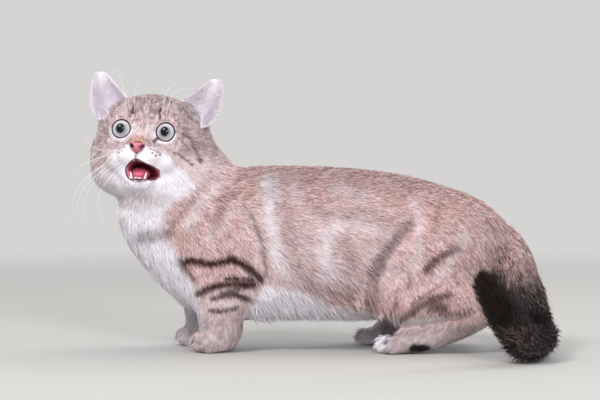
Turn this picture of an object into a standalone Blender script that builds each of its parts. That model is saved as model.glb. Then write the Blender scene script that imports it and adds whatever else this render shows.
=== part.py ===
"""A munchkin cat, life size: a long round body low on four short legs, the head turned to its left with the
mouth open, and the tail curled round on the floor. Sizes are in millimetres and are turned to metres where
the meshes are made. While it is shaped the cat faces -X with its left side at -Y and the floor at z = 0."""

import math

import bmesh
import bpy
import numpy as np
from mathutils import Euler, Matrix, Vector

MM = 0.001

# Driving dimensions of this cat, over the coat
BACK_HEIGHT = 164.0
BELLY_HEIGHT = 25.5
CHEST_HALF_WIDTH = 53.0
BARREL_HALF_WIDTH = 61.0
HIP_HALF_WIDTH = 55.0
FORE_TRACK = 34.0  # from the midline to the middle of a forepaw
HIND_TRACK = 47.5
EYE_SPREAD = 19.9  # from the middle of the face to the middle of an eye
EYEBALL = 10.0
EYE_LEVEL = -1.0  # of an eyeball's middle, up the face
EYE_DEPTH = -3.2  # and out of it
LID_RING = 9.4
LID_THICKNESS = 1.8
LID_HEIGHT = 2.4
TAIL_THICKNESS = 19.0

# Where the head sits: the point between the eyes, and how the head is turned, nosed up and tipped
EYES_AT = Vector((-155.2, -38.0, 196.0))
HEAD_YAW, HEAD_PITCH, HEAD_ROLL = (math.radians(a) for a in (7.5, 8.0, 4.3))

GAP = 0.3  # what touching pieces keep between them
BODY_GRID = 1.7  # grid on which the forms of the body are fused
HEAD_GRID = 1.2
HEAD_PLANE = ((-140, -8, 150), (-0.35, -0.4, 0.85))  # a point of each parting and the way it faces
NECK_PLANE = ((-120, 0, 128), (-0.58, 0, 0.815))
FLANK_CREASE = ((80, 114), (60, 90), (50, 62), (50, 36))
ARM_CREASE = ((-62, 122), (-52, 94), (-49, 66))
BODY_ROUNDING = 45  # smoothing passes over the trunk and thighs
LIMB_ROUNDING = 12  # over the head, the legs and the tail
FACE_ROUNDING = 4  # and over the face and the paws, whose forms are smaller
BODY_TRIANGLES = 3800
HEAD_TRIANGLES = 4200

SIDES = {"left": -1, "right": 1}
LEG_SHIFT = {"left": 0.0, "right": -15.5}  # the right legs stand this much further forward
# Rows of an ear from root to tip, in the face's axes: its inner edge, its outer edge, how deep it is cupped
EAR_ROWS = (
    ((17, 19, -28), (41, 3, -22), 13.0),
    ((20.5, 27, -28.5), (49.5, 11, -24), 14.0),
    ((26, 35, -30), (54.5, 20, -27.5), 12.5),
    ((33, 41, -31), (57.6, 31, -30), 9.0),
    ((39.5, 46.8, -31.5), (59.2, 42, -31.5), 5.5),
    ((44.8, 51.8, -32.5), (58.6, 50.5, -32.5), 2.5),
    ((48.6, 56, -33), (55.0, 55.6, -33), 0.4),
)
EAR_THICKNESS = 2.2
EAR_TURN = {-1: -0.8, 1: 0.4}  # how much further out each ear's outer edge stands
# The rim of the open mouth in the face's axes, from its peak round by the cat's left
MOUTH_RIM = (
    (-0.5, -29.6, 19),
    (7, -32.9, 17.5),
    (13.3, -36.2, 15),
    (19.4, -38.2, 10.5),
    (18.6, -40.6, 9),
    (13.2, -45.2, 12),
    (4, -45.6, 14),
    (-5.8, -45.2, 13),
    (-9.2, -42.0, 10),
    (-10.0, -38.4, 11),
    (-6.2, -34.0, 15.5),
)
LIP_ROLL = 1.8
LIP_RISE = -0.5  # the roll's middle line stands this far off the face
JAW_TOP = -39.4  # the jaw parts from the head at this height, at the corners of the mouth
JAW_SWING = 0.8  # the open jaw hangs this far to the cat's left
NOSE_SWING = -0.8  # and the nose lies this far to its right
SURFACES = {
    "eye_left": ("iris", 0.15),
    "eye_right": ("iris", 0.15),
    "nose": ("nose_leather", 0.5),
    "tongue": ("tongue", 0.4),
    "tail_bend": ("dark_coat", 0.9),
    "tail_tip": ("dark_coat", 0.9),
    "lower_jaw": ("pale_coat", 0.9),
    "forepaw_left": ("pale_coat", 0.9),
    "forepaw_right": ("pale_coat", 0.9),
}
COLOURS = {
    "coat": (0.56, 0.46, 0.42, 1),
    "pale_coat": (0.80, 0.76, 0.76, 1),
    "dark_coat": (0.07, 0.045, 0.035, 1),
    "iris": (0.50, 0.58, 0.56, 1),
    "nose_leather": (0.72, 0.32, 0.36, 1),
    "tongue": (0.62, 0.20, 0.26, 1),
    "tooth": (0.86, 0.82, 0.76, 1),
}


def clear_scene():
    for obj in list(bpy.data.objects):
        bpy.data.objects.remove(obj)


def collection(name):
    made = bpy.data.collections.new(name)
    bpy.context.scene.collection.children.link(made)
    return made


def head_matrix():
    """From the face's own axes (across to the cat's left, up, out of the face) to the cat's."""
    upright = Matrix(((1, 0, 0), (0, 0, -1), (0, 1, 0)))
    turn = Matrix.Rotation(-HEAD_YAW, 3, "Z") @ Matrix.Rotation(-HEAD_PITCH, 3, "X")
    turn = turn @ Matrix.Rotation(HEAD_ROLL, 3, "Y")
    return Matrix.Translation(EYES_AT) @ (turn @ upright).to_4x4()


HEAD = head_matrix()


def on_head(point):
    return HEAD @ Vector(point)


def new_object(name, mesh, home):
    obj = bpy.data.objects.new(name, mesh)
    home.objects.link(obj)
    return obj


def mesh_of(bm):
    bmesh.ops.recalc_face_normals(bm, faces=bm.faces)
    mesh = bpy.data.meshes.new("form")
    bm.to_mesh(mesh)
    bm.free()
    return mesh


def ball(home, centre, half, turn=(0, 0, 0), base=None, rings=(28, 18)):
    """An ellipsoid of the given half sizes, in the cat's axes or those of the matrix base."""
    base = Matrix.Identity(4) if base is None else base
    bm = bmesh.new()
    bmesh.ops.create_uvsphere(bm, u_segments=rings[0], v_segments=rings[1], radius=1)
    place = Matrix.Translation(centre) @ Euler([math.radians(a) for a in turn]).to_matrix().to_4x4()
    place = Matrix.Scale(MM, 4) @ base @ place @ Matrix.Diagonal((*half, 1))
    bmesh.ops.transform(bm, matrix=place, verts=bm.verts)
    return new_object("form", mesh_of(bm), home)


def through(stations, steps):
    """Rows of numbers on a smooth curve through the given rows."""
    rows = np.array(stations, float)
    rows = np.vstack([2 * rows[0] - rows[1], rows, 2 * rows[-1] - rows[-2]])
    found = []
    for before, a, b, after in zip(rows, rows[1:], rows[2:], rows[3:]):
        for t in np.linspace(0, 1, steps, endpoint=False):
            bend = 2 * before - 5 * a + 4 * b - after
            swing = -before + 3 * a - 3 * b + after
            found.append(a + 0.5 * ((b - before) * t + bend * t**2 + swing * t**3))
    return np.array([*found, rows[-2]])


def tube(home, stations, facing=None, steps=4, sides=28, squareness=2.0):
    """A closed form lofted through stations of x, y, z, half width and half height. Its sections stand across
    the path, or across facing where that is given. A squareness over 2 fills out the sections' corners."""
    rows = through(stations, steps)
    centres = rows[:, :3]
    paths = np.gradient(centres, axis=0)
    bm = bmesh.new()
    rings = []
    across = None
    for centre, path, (wide, high) in zip(centres, paths, rows[:, 3:5]):
        along = Vector(facing if facing else path).normalized()
        if across is None:
            across = along.cross(Vector((0, 0, 1)))
        across = (across - along * across.dot(along)).normalized()
        upward = across.cross(along)
        ring = []
        for turn in np.linspace(0, 2 * math.pi, sides, endpoint=False):
            c, s = math.cos(turn), math.sin(turn)
            u = math.copysign(abs(c) ** (2 / squareness), c) * max(wide, 0.5)
            v = math.copysign(abs(s) ** (2 / squareness), s) * max(high, 0.5)
            ring.append(bm.verts.new((Vector(centre) + across * u + upward * v) * MM))
        rings.append(ring)
    for one, other in zip(rings, rings[1:]):
        for k in range(sides):
            following = (k + 1) % sides
            bm.faces.new((one[k], one[following], other[following], other[k]))
    bm.faces.new(rings[0])
    bm.faces.new(rings[-1])
    return new_object("form", mesh_of(bm), home)


def hull(home, points, base=None, rounding=0):
    """The closed hull of the points, rounded by subdivision."""
    bm = bmesh.new()
    base = Matrix.Identity(4) if base is None else base
    for point in points:
        bm.verts.new(base @ Vector(point) * MM)
    made = bmesh.ops.convex_hull(bm, input=bm.verts)
    inner = [g for g in made["geom_interior"] if isinstance(g, bmesh.types.BMVert)]
    bmesh.ops.delete(bm, geom=inner, context="VERTS")
    obj = new_object("hull", mesh_of(bm), home)
    if rounding:
        smooth = obj.modifiers.new("rounded", "SUBSURF")
        smooth.levels = smooth.render_levels = rounding
        bake(obj)
    return obj


def slab(home, centre, half, turn=(0, 0, 0), base=None):
    """A box of the given half sizes, turned about its middle by angles in degrees."""
    base = Matrix.Identity(4) if base is None else base
    bm = bmesh.new()
    bmesh.ops.create_cube(bm, size=2)
    place = Matrix.Translation(centre) @ Euler([math.radians(a) for a in turn]).to_matrix().to_4x4()
    place = Matrix.Scale(MM, 4) @ base @ place @ Matrix.Diagonal((*half, 1))
    bmesh.ops.transform(bm, matrix=place, verts=bm.verts)
    return new_object("slab", mesh_of(bm), home)


def bake(obj):
    """Applies the object's modifiers to its mesh."""
    bpy.context.view_layer.update()
    graph = bpy.context.evaluated_depsgraph_get()
    old = obj.data
    made = bpy.data.meshes.new_from_object(obj.evaluated_get(graph))
    obj.modifiers.clear()
    obj.data = made
    bpy.data.meshes.remove(old)
    return obj


def joined(forms, name, home):
    """One object that holds the meshes of all the forms, which are removed."""
    bm = bmesh.new()
    for form in forms:
        bm.from_mesh(form.data)
        bpy.data.objects.remove(form)
    mesh = bpy.data.meshes.new(name)
    bm.to_mesh(mesh)
    bm.free()
    return new_object(name, mesh, home)


def cut(obj, cutter, operation="DIFFERENCE"):
    """A Boolean of obj with the cutter, applied."""
    change = obj.modifiers.new("cut", "BOOLEAN")
    change.operation = operation
    change.object = cutter
    change.solver = "EXACT"
    return bake(obj)


def largest(obj):
    """Keeps only the largest closed surface of the mesh."""
    bm = bmesh.new()
    bm.from_mesh(obj.data)
    left = set(bm.verts)
    islands = []
    while left:
        island, front = set(), [left.pop()]
        while front:
            vert = front.pop()
            island.add(vert)
            near = {e.other_vert(vert) for e in vert.link_edges} & left
            left -= near
            front.extend(near)
        islands.append(island)
    islands.sort(key=len)
    scraps = [v for island in islands[:-1] for v in island]
    bmesh.ops.delete(bm, geom=scraps, context="VERTS")
    bm.to_mesh(obj.data)
    bm.free()
    return obj


def copy_of(obj, name, home):
    return new_object(name, obj.data.copy(), home)


def torso_forms(home):
    """The barrel of the body with the shoulders and the haunches; its front slants back to the forelegs."""
    stations = []
    for x, top, bottom, half_width in (
        (-181, 150, 112, 20),
        (-173, 160, 92, 31),
        (-157, 166, 71, 39),
        (-139, 166, 52, 44),
        (-118, 165, 35, 48),
        (-90, BACK_HEIGHT, BELLY_HEIGHT + 1, CHEST_HALF_WIDTH),
        (-50, BACK_HEIGHT + 1, BELLY_HEIGHT, 57),
        (-5, BACK_HEIGHT + 1, BELLY_HEIGHT, BARREL_HALF_WIDTH),
        (40, BACK_HEIGHT - 2, BELLY_HEIGHT + 1, 60),
        (80, 156, 32, HIP_HALF_WIDTH + 3),
        (112, 147, 42, HIP_HALF_WIDTH - 1),
        (138, 138, 52, 45),
        (156, 126, 60, 34),
        (170, 112, 68, 21),
        (178, 99, 78, 9),
    ):
        stations.append((x, 0, (top + bottom) / 2, half_width, (top - bottom) / 2))
    forms = [tube(home, stations, facing=(1, 0, 0), squareness=2.15)]
    for side in SIDES.values():
        forms += [
            ball(home, (-97, side * 31, 98), (40, 25, 50), (0, -8, 0)),
            ball(home, (108, side * 31, 86), (47, 30, 46), (0, 18, 0)),
            ball(home, (52, side * 36, 62), (34, 20, 30), (0, -25, 0)),
        ]
    return forms


def neck_forms(home):
    """The thick upright neck, from the withers to the back of the head."""
    stations = (
        (-98, 0, 98, 47, 64),
        (-116, 0, 122, 47, 61),
        (-130, -1, 144, 47, 56),
        (-138, -3, 162, 46, 50),
        (-142, -4, 180, 36, 40),
    )
    return [tube(home, stations, facing=(-0.45, -0.05, 0.89))]


def skull_forms(home):
    """Skull, cheeks, muzzle and the dropped lower jaw, in the face's own axes."""
    forms = [
        ball(home, (0, 5, -40), (46, 34, 42), base=HEAD),
        ball(home, (0, 15, -24), (32, 20, 26), base=HEAD),
        ball(home, (0, 3, -9), (17, 17, 15), base=HEAD),
        ball(home, (0, -6, -1), (11.5, 14, 13), (18, 0, 0), base=HEAD),
        ball(home, (0, -16, 9), (9.4, 7.6, 12.4), base=HEAD),
        ball(home, (0, -44, -38), (31, 24, 29), base=HEAD),
        ball(home, (JAW_SWING, -46, -20), (24, 14, 24), base=HEAD),
        ball(home, (JAW_SWING, -49, -3), (14, 5.6, 13.5), (4, 0, 0), base=HEAD),
        ball(home, (-12, -40, 1), (6, 8, 9), base=HEAD),
    ]
    for side in (-1, 1):
        forms += [
            ball(home, (side * 29, 3, -31), (20, 26, 24), base=HEAD),
            ball(home, (side * 28, -18, -27), (25, 24, 27), base=HEAD),
            ball(home, (side * 28, -29, -29), (25, 20, 26), base=HEAD),
            ball(home, (side * 24.5, -38, -29), (26, 19, 26), base=HEAD),
            ball(home, (side * EYE_SPREAD, EYE_LEVEL, -11), (17, 15.5, 13), base=HEAD),
            ball(home, (side * 24, -17, -11), (21, 15, 17), base=HEAD),
            ball(home, (side * 12, -11, -5), (12, 10, 12), base=HEAD),
            ball(home, (side * 18, 13, -13), (18, 11, 14), base=HEAD),
            ball(home, (side * 9.0, -24.3, 8.2), (12.2, 9.6, 13.0), base=HEAD),
            ball(home, (side * 18, -27, -4), (16, 12.5, 16), base=HEAD),
            ball(home, (JAW_SWING + side * 14, -45, -15), (15, 11, 18), base=HEAD),
            ball(home, (0.8 + side * 42, 4, -38), (10.5, 14, 13), base=HEAD),
        ]
    return forms


def lid_ring(home, side):
    """The raised rim of the lids round an eye."""
    bm = bmesh.new()
    rings = []
    for turn in np.linspace(0, 2 * math.pi, 40, endpoint=False):
        ring = []
        for around in np.linspace(0, 2 * math.pi, 10, endpoint=False):
            reach = LID_RING + LID_THICKNESS * math.cos(around)
            up = LID_HEIGHT + 1.25 * LID_THICKNESS * math.sin(around)
            spot = (side * EYE_SPREAD + reach * math.cos(turn), EYE_LEVEL + reach * math.sin(turn), up)
            ring.append(bm.verts.new(on_head(spot) * MM))
        rings.append(ring)
    for one, other in zip(rings, rings[1:] + rings[:1]):
        for k in range(10):
            bm.faces.new((one[k], one[(k + 1) % 10], other[(k + 1) % 10], other[k]))
    return new_object("lid", mesh_of(bm), home)


def paw_point(x, y, splay, ahead, across):
    """A point ahead of a paw's middle and to one side, for a paw that turns out by an angle in degrees."""
    a = math.radians(splay)
    return (x - ahead * math.cos(a) + across * math.sin(a), y + across * math.cos(a) + ahead * math.sin(a))


def toes(home, x, y, splay, ahead, spacing, half):
    """Four toes of a paw, the middle two ahead of the outer ones."""
    forms = []
    for place, behind, wide in ((-1.5, 5.5, -0.5), (-0.5, 0, 0), (0.5, 0, 0), (1.5, 5.5, -0.5)):
        spot = paw_point(x, y, splay, ahead - behind, place * spacing)
        length, width, height = half
        turn = (0, 0, -splay - place * 7)
        forms.append(ball(home, (*spot, height - 0.4), (length, width + wide, height), turn, rings=(20, 12)))
    return forms


def foreleg_forms(home, side, shift):
    """A short column of a leg with a broad four-toed paw turned a little outwards."""
    y = side * FORE_TRACK
    x = -90 + shift
    leg = (
        (x - 5, y, 92, 21, 30),
        (x - 2, y, 68, 21.5, 28),
        (x + 1, y, 47, 19.5, 24.5),
        (x + 2, y, 31, 18, 21.5),
        (x + 2, y, 17, 17.5, 19.5),
        (x + 1, y, 7, 15, 16),
    )
    forms = [tube(home, leg), ball(home, (x - 3, y, 9), (20, 18.5, 10.5), (0, 0, -side * 20))]
    return forms + toes(home, x - 3, y, side * 20, 13.5, 9.4, (10.5, 5.6, 10))


def hindleg_forms(home, side, shift):
    """A folded hind leg: heavy thigh, the shank lying back to the hock, and the long foot on its toes."""
    y = side * HIND_TRACK
    x = 58 + shift
    forms = [
        ball(home, (78 + shift, side * 40, 52), (28, 22, 29), (0, 20, 0)),
        ball(home, (104 + shift, side * 36, 70), (42, 25, 42), (0, 25, 0)),
    ]
    shank = (
        (70 + shift, y - side * 3, 46, 20, 23),
        (96 + shift, y - side * 2, 46, 19, 22),
        (122 + shift, y - side, 46, 17, 19),
        (141 + shift, y, 42, 14, 15),
        (150 + shift, y, 38, 10, 11),
    )
    foot = (
        (66 + shift, y, 11, 15, 10.5),
        (86 + shift, y, 13, 15.5, 12.5),
        (108 + shift, y, 19, 14.5, 13),
        (130 + shift, y, 28, 13.5, 12.5),
        (144 + shift, y, 36, 12, 12),
        (150 + shift, y, 41, 7, 8),
    )
    pad = ball(home, (x + 14, y, 9), (19, 17.5, 10), (0, 0, -side * 10))
    forms += [tube(home, shank), tube(home, foot), pad]
    return forms + toes(home, x + 12, y, side * 10, 12.5, 9.0, (10.5, 5.4, 9.6))


def tail_tube(home):
    """The bushy tail: down behind the rump, round on the floor, and up to its tip on the left."""
    t = TAIL_THICKNESS
    stations = (
        (140, 0, 116, t - 7, t - 7),
        (166, -3, 93, t - 0.5, t - 0.5),
        (177, -20, 64, t + 0.5, t + 0.5),
        (181, -48, 39, t + 1, t + 1),
        (181, -84, 23, t + 1, t + 1),
        (179, -118, 20.5, t + 0.5, t + 0.5),
        (169, -140, 20.5, t, t),
        (157, -152, 32, t - 2, t - 2),
        (147.5, -156, 46, t - 3, t - 3),
        (140, -157, 58, t - 5, t - 5),
        (135.5, -157.5, 66.5, t - 7, t - 7),
        (133, -158, 72.5, 8, 8),
        (132, -158, 75, 2.5, 2.5),
    )
    return tube(home, stations, steps=3, sides=16)


def points_of(obj):
    co = np.empty(len(obj.data.vertices) * 3, np.float32)
    obj.data.vertices.foreach_get("co", co)
    return co.reshape(-1, 3).astype(float) / MM


def set_points(obj, points):
    obj.data.vertices.foreach_set("co", (points * MM).astype(np.float32).ravel())
    obj.data.update()


def normals_of(obj):
    found = np.empty(len(obj.data.vertices) * 3, np.float32)
    obj.data.vertices.foreach_get("normal", found)
    return found.reshape(-1, 3).astype(float)


def to_face(points):
    """Points of the cat in the face's own axes."""
    inverse = np.array(HEAD.inverted())
    return points @ inverse[:3, :3].T + inverse[:3, 3]


def smooth_step(values):
    t = np.clip(values, 0, 1)
    return t * t * (3 - 2 * t)


def face_share(points):
    """How much of each point belongs to the small forms of the face, from 0 to 1."""
    return smooth_step(2.4 - 1.7 * np.linalg.norm((to_face(points) - (0, -16, 4)) / (42, 42, 30), axis=1))


def limb_share(points):
    """How much of each point belongs to the head, the legs and the tail."""
    head = 2.6 - 1.8 * np.linalg.norm((to_face(points) - (0, -8, -22)) / (56, 52, 48), axis=1)
    legs = (52 - points[:, 2]) / 16
    tail = np.maximum((points[:, 0] - 172) / 8, (-62 - points[:, 1]) / 8)
    return smooth_step(np.maximum(np.maximum(head, legs), tail))


def fine_share(points):
    paws = (26 - points[:, 2]) / 8 * (points[:, 0] < 150)
    return np.maximum(face_share(points), smooth_step(paws))


def group(obj, name, weights):
    made = obj.vertex_groups.new(name=name)
    levels = np.round(weights * 20).astype(int)
    for level in range(1, 21):
        chosen = np.nonzero(levels == level)[0]
        if len(chosen):
            made.add(chosen.tolist(), level / 20, "REPLACE")


def mouth_space(home):
    """The open mouth: a peak under the nose, down to the corners and the lower lip, closing to the throat."""
    points = []
    for side in (-1, 1):
        points += [(JAW_SWING + side * 8, -30, -15), (JAW_SWING + side * 7, -40, -15)]
    for u, v, w in MOUTH_RIM:
        shallow = 0.9 * max(u - 7, 0)
        points += [(u, v, w + 12), (u * 0.9, v + (0.5 if v < -44 else -1), w - 20 + shallow)]
    return hull(home, points, base=HEAD)


def fused(home, forms, name, grid):
    flesh = joined(forms, name, home)
    fuse(flesh, grid)
    return flesh


def fuse(obj, grid):
    change = obj.modifiers.new("fuse", "REMESH")
    change.mode = "VOXEL"
    change.voxel_size = grid * MM
    return bake(obj)


def lip_roll(home, flesh):
    """The rolled edge of the lips all round the mouth, half of which the mouth's own space takes away."""
    stations = []
    for spot in (*MOUTH_RIM, MOUTH_RIM[0]):
        _, lip, outward, _ = flesh.closest_point_on_mesh(on_head(spot) * MM)
        stations.append((*(lip / MM + outward * LIP_RISE), LIP_ROLL, LIP_ROLL))
    return tube(home, stations, steps=3, sides=12)


def ear_hollow(home, side):
    """The dip of the temple in front of an ear, which leaves its cup open down to the root."""
    return ball(home, (side * 46, 22.5, -18), (15, 15, 21), (0, 0, side * 20), HEAD)


def toe_clefts(x, y, splay, ahead, spacing, height):
    """The three furrows between the toes of a paw, from the top of the foot down their fronts."""
    paths = []
    for place in (-1, 0, 1):
        path = []
        for gone, up in ((-9, height + 3), (0, height + 1.5), (7, height * 0.6), (9, 2)):
            behind = 2.5 if place else 0
            path.append((*paw_point(x, y, splay, ahead + gone - behind, place * spacing), up))
        paths.append(path)
    return paths


def body_flesh(home):
    """Trunk, neck and legs as one smooth closed mesh, soled flat at the floor."""
    forms = torso_forms(home) + neck_forms(home)
    for name, side in SIDES.items():
        forms += foreleg_forms(home, side, LEG_SHIFT[name])
        forms += hindleg_forms(home, side, LEG_SHIFT[name])
    flesh = fused(home, forms, "body", BODY_GRID)
    places = points_of(flesh)
    group(flesh, "trunk", 1 - limb_share(places))
    group(flesh, "coarse", 1 - fine_share(places))
    soften(flesh, BODY_ROUNDING, "trunk")
    soften(flesh, LIMB_ROUNDING, "coarse")
    soften(flesh, FACE_ROUNDING)
    for name, side in SIDES.items():
        press(flesh, [(x, side * 55, z) for x, z in FLANK_CREASE], 11, 3.6)
        press(flesh, [(x, side * 55, z) for x, z in ARM_CREASE], 11, 3.0)
        shift = LEG_SHIFT[name]
        for path in toe_clefts(-93 + shift, side * FORE_TRACK, side * 20, 13.5, 9.4, 15):
            press(flesh, path, 2.6, 2.4)
        for path in toe_clefts(70 + shift, side * HIND_TRACK, side * 10, 12.5, 9.0, 14):
            press(flesh, path, 2.6, 2.4)
    thin(flesh, BODY_TRIANGLES)
    return flesh


def head_flesh(home, cutters):
    """Head and upper neck as one smooth closed mesh on a finer grid, with lids and the mouth open in it."""
    flesh = fused(home, skull_forms(home) + neck_forms(home), "head", HEAD_GRID)
    for side in SIDES.values():
        cut(flesh, ear_hollow(cutters, side))
    fuse(flesh, HEAD_GRID)
    group(flesh, "coarse", 1 - face_share(points_of(flesh)))
    soften(flesh, 3 * LIMB_ROUNDING, "coarse")
    soften(flesh, LIMB_ROUNDING)
    rims = [lid_ring(home, -1), lid_ring(home, 1), lip_roll(home, flesh)]
    flesh = fused(home, [flesh, *rims], "head", HEAD_GRID)
    cut(flesh, mouth_space(cutters))
    fuse(flesh, HEAD_GRID)
    soften(flesh, FACE_ROUNDING)
    parting = [on_head(p) for p in ((NOSE_SWING, -22.5, 24), (-0.5, -30, 22))]
    press(flesh, parting, 2.4, 2.2, tuple(HEAD.to_3x3() @ Vector((0, 0, -1))))
    thin(flesh, HEAD_TRIANGLES)
    return flesh


def press(obj, path, radius, depth, toward=None):
    """Presses a soft groove along the path, inward or in the direction given. A groove in a side of the cat
    reaches well in and out of the path, so that it follows the side's own roundness."""
    reach = (1, 0.35, 1) if toward is None else (1, 1, 1)
    places = points_of(obj) * reach
    path = np.array([tuple(p) for p in path]) * reach
    near = np.full(len(places), np.inf)
    for a, b in zip(path, path[1:]):
        run = b - a
        t = np.clip((places - a) @ run / (run @ run), 0, 1)
        near = np.minimum(near, np.linalg.norm(places - a - t[:, None] * run, axis=1))
    share = np.exp(-((near / radius) ** 2))
    way = -normals_of(obj) if toward is None else np.array(toward)
    set_points(obj, points_of(obj) + way * (share * depth)[:, None])


def thin(obj, triangles):
    fewer = obj.modifiers.new("thin", "DECIMATE")
    fewer.ratio = triangles / (2 * len(obj.data.polygons))
    return bake(obj)


def soften(obj, passes, where=""):
    smooth = obj.modifiers.new("soften", "SMOOTH")
    smooth.factor = 0.5
    smooth.iterations = passes
    smooth.vertex_group = where
    return bake(obj)


def ear_sheet(home, side):
    """An upright ear as a cupped sheet, from its root inside the head to the rounded tip."""
    rows = []
    for inner, outer, depth in EAR_ROWS:
        for t in np.linspace(0, 1, 8):
            spot = np.array(inner) * (1 - t) + np.array(outer) * t
            across = spot[0] + EAR_TURN[side] * t
            rows.append((side * across, spot[1], spot[2] - depth * 4 * t * (1 - t)))
    count = len(rows) // len(EAR_ROWS)
    bm = bmesh.new()
    verts = [bm.verts.new(on_head(r) * MM) for r in rows]
    for j in range(len(EAR_ROWS) - 1):
        for i in range(count - 1):
            k = j * count + i
            bm.faces.new((verts[k], verts[k + 1], verts[k + count + 1], verts[k + count]))
    sheet = new_object("ear", mesh_of(bm), home)
    rounder = sheet.modifiers.new("rounder", "SUBSURF")
    rounder.levels = rounder.render_levels = 1
    shell = sheet.modifiers.new("shell", "SOLIDIFY")
    shell.thickness = EAR_THICKNESS * MM
    shell.offset = 0
    return bake(sheet)


def swollen(obj, amount, home):
    """A copy of the object, larger by the amount all over."""
    copy = copy_of(obj, "swollen", home)
    set_points(copy, points_of(copy) + normals_of(copy) * amount)
    return copy


def part_off(obj, name, home, cutters, shape):
    """Takes the share of obj inside the shape as a new piece and leaves a gap between the two."""
    piece = copy_of(obj, name, home)
    largest(cut(piece, swollen(shape, -GAP / 2, cutters), "INTERSECT"))
    largest(cut(obj, swollen(shape, GAP / 2, cutters)))
    return piece


def eye(home, side):
    """An eyeball with the clear bulge of its cornea."""
    obj = ball(home, (side * EYE_SPREAD, EYE_LEVEL, EYE_DEPTH), [EYEBALL] * 3, base=HEAD, rings=(24, 14))
    local = to_face(points_of(obj))
    lift = smooth_step((local[:, 2] - EYE_DEPTH - 0.68 * EYEBALL) / (0.32 * EYEBALL))
    ahead = np.array(HEAD.to_3x3() @ Vector((0, 0, 1)))
    set_points(obj, points_of(obj) + lift[:, None] * ahead * 1.3)
    return obj


def nose_leather(home, cutters):
    """The soft triangular pad of the nose with its two nostrils."""
    points = []
    edge = ((7.0, -13.8, 20), (8.0, -16, 19.5), (5.4, -18.9, 20.8), (1.4, -23, 21.5))
    for u, v, w in (*edge, (4, -15.5, 24), (1.8, -19.6, 24.6)):
        for out in (-u, u):
            points += [(NOSE_SWING + out, v, w), (NOSE_SWING + out * 0.8, v, w - 6)]
    pad = hull(home, points, base=HEAD, rounding=1)
    for side in (-1, 1):
        hole = (NOSE_SWING + side * 4.5, -17.5, 23.6)
        cut(pad, ball(cutters, hole, (2.6, 1.1, 3.6), (0, 0, side * 31), HEAD, (14, 10)))
    return pad


def canine(home, side):
    """One of the two lower canine teeth, leaning outward."""
    low, high = on_head((JAW_SWING + side * 5.0, -47.6, 4.5)), on_head((JAW_SWING + side * 7.0, -37.6, 7.5))
    stations = []
    for t, width in ((0, 2.0), (0.4, 1.7), (0.75, 1.05), (1, 0.3)):
        spot = low.lerp(high, t)
        stations.append((*spot, width, width))
    return tube(home, stations, facing=tuple(high - low), steps=2, sides=10)


def tongue(home):
    """The tongue, broad and low in the open jaw with a furrow down its middle."""
    middle = JAW_SWING - 0.6
    obj = ball(home, (middle, -38.6, -2.8), (8.6, 5.8, 11.4), (14, 0, 0), base=HEAD, rings=(20, 14))
    furrow = [on_head((middle, v, w)) for v, w in ((-38.0, 9), (-33.2, -2), (-31.4, -11))]
    press(obj, furrow, 2.2, 0.8, tuple(HEAD.to_3x3() @ Vector((0, -1, 0))))
    return obj


def jaw_shape(home):
    """The wedge of the face that the lower jaw takes: flat on top at the corners of the mouth."""
    points = []
    for right, left, w in ((-15, 21, -15), (-14, 23, 4), (-11, 19, 20), (-4, 10, 30)):
        points += [(right, JAW_TOP, w), (left, JAW_TOP, w)]
    for right, left, v, w in ((-10, 15, -58, -15), (-9, 14, -60, 0), (-6, 10, -62, 16)):
        points += [(right, v, w), (left, v, w)]
    return hull(home, points, base=HEAD)


def facing(point, normal):
    """The axes of a plane through the point, z along the normal."""
    return Matrix.Translation(point) @ Vector(normal).to_track_quat("Z", "Y").to_matrix().to_4x4()


def divide_head(head, home, cutters):
    """The head's own piece, the lower jaw with its two canines, and the parts that sit in the head."""
    above = slab(cutters, (0, 0, 150), (150, 150, 150), base=facing(*HEAD_PLANE))
    upper = part_off(head, "head", home, cutters, above)
    bpy.data.objects.remove(head)
    jaw = part_off(upper, "lower_jaw", home, cutters, jaw_shape(cutters))
    pieces = {"head": upper, "lower_jaw": jaw, "tongue": tongue(home), "nose": nose_leather(home, cutters)}
    for name, side in (("left", 1), ("right", -1)):
        pieces["eye_" + name] = eye(home, side)
        socket = [EYEBALL + GAP + 0.1] * 3
        cut(upper, ball(cutters, (side * EYE_SPREAD, EYE_LEVEL, EYE_DEPTH), socket, base=HEAD, rings=(24, 14)))
        pieces["ear_" + name] = ear_sheet(home, side)
        cut(jaw, canine(cutters, side), "UNION")
    cut(upper, swollen(pieces["nose"], GAP + 0.15, cutters))
    for piece in (upper, jaw):
        largest(cut(piece, swollen(pieces["tongue"], GAP + 0.15, cutters)))
    around = swollen(upper, GAP, cutters)
    for name in SIDES:
        largest(cut(pieces["ear_" + name], around))
    return pieces


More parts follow.
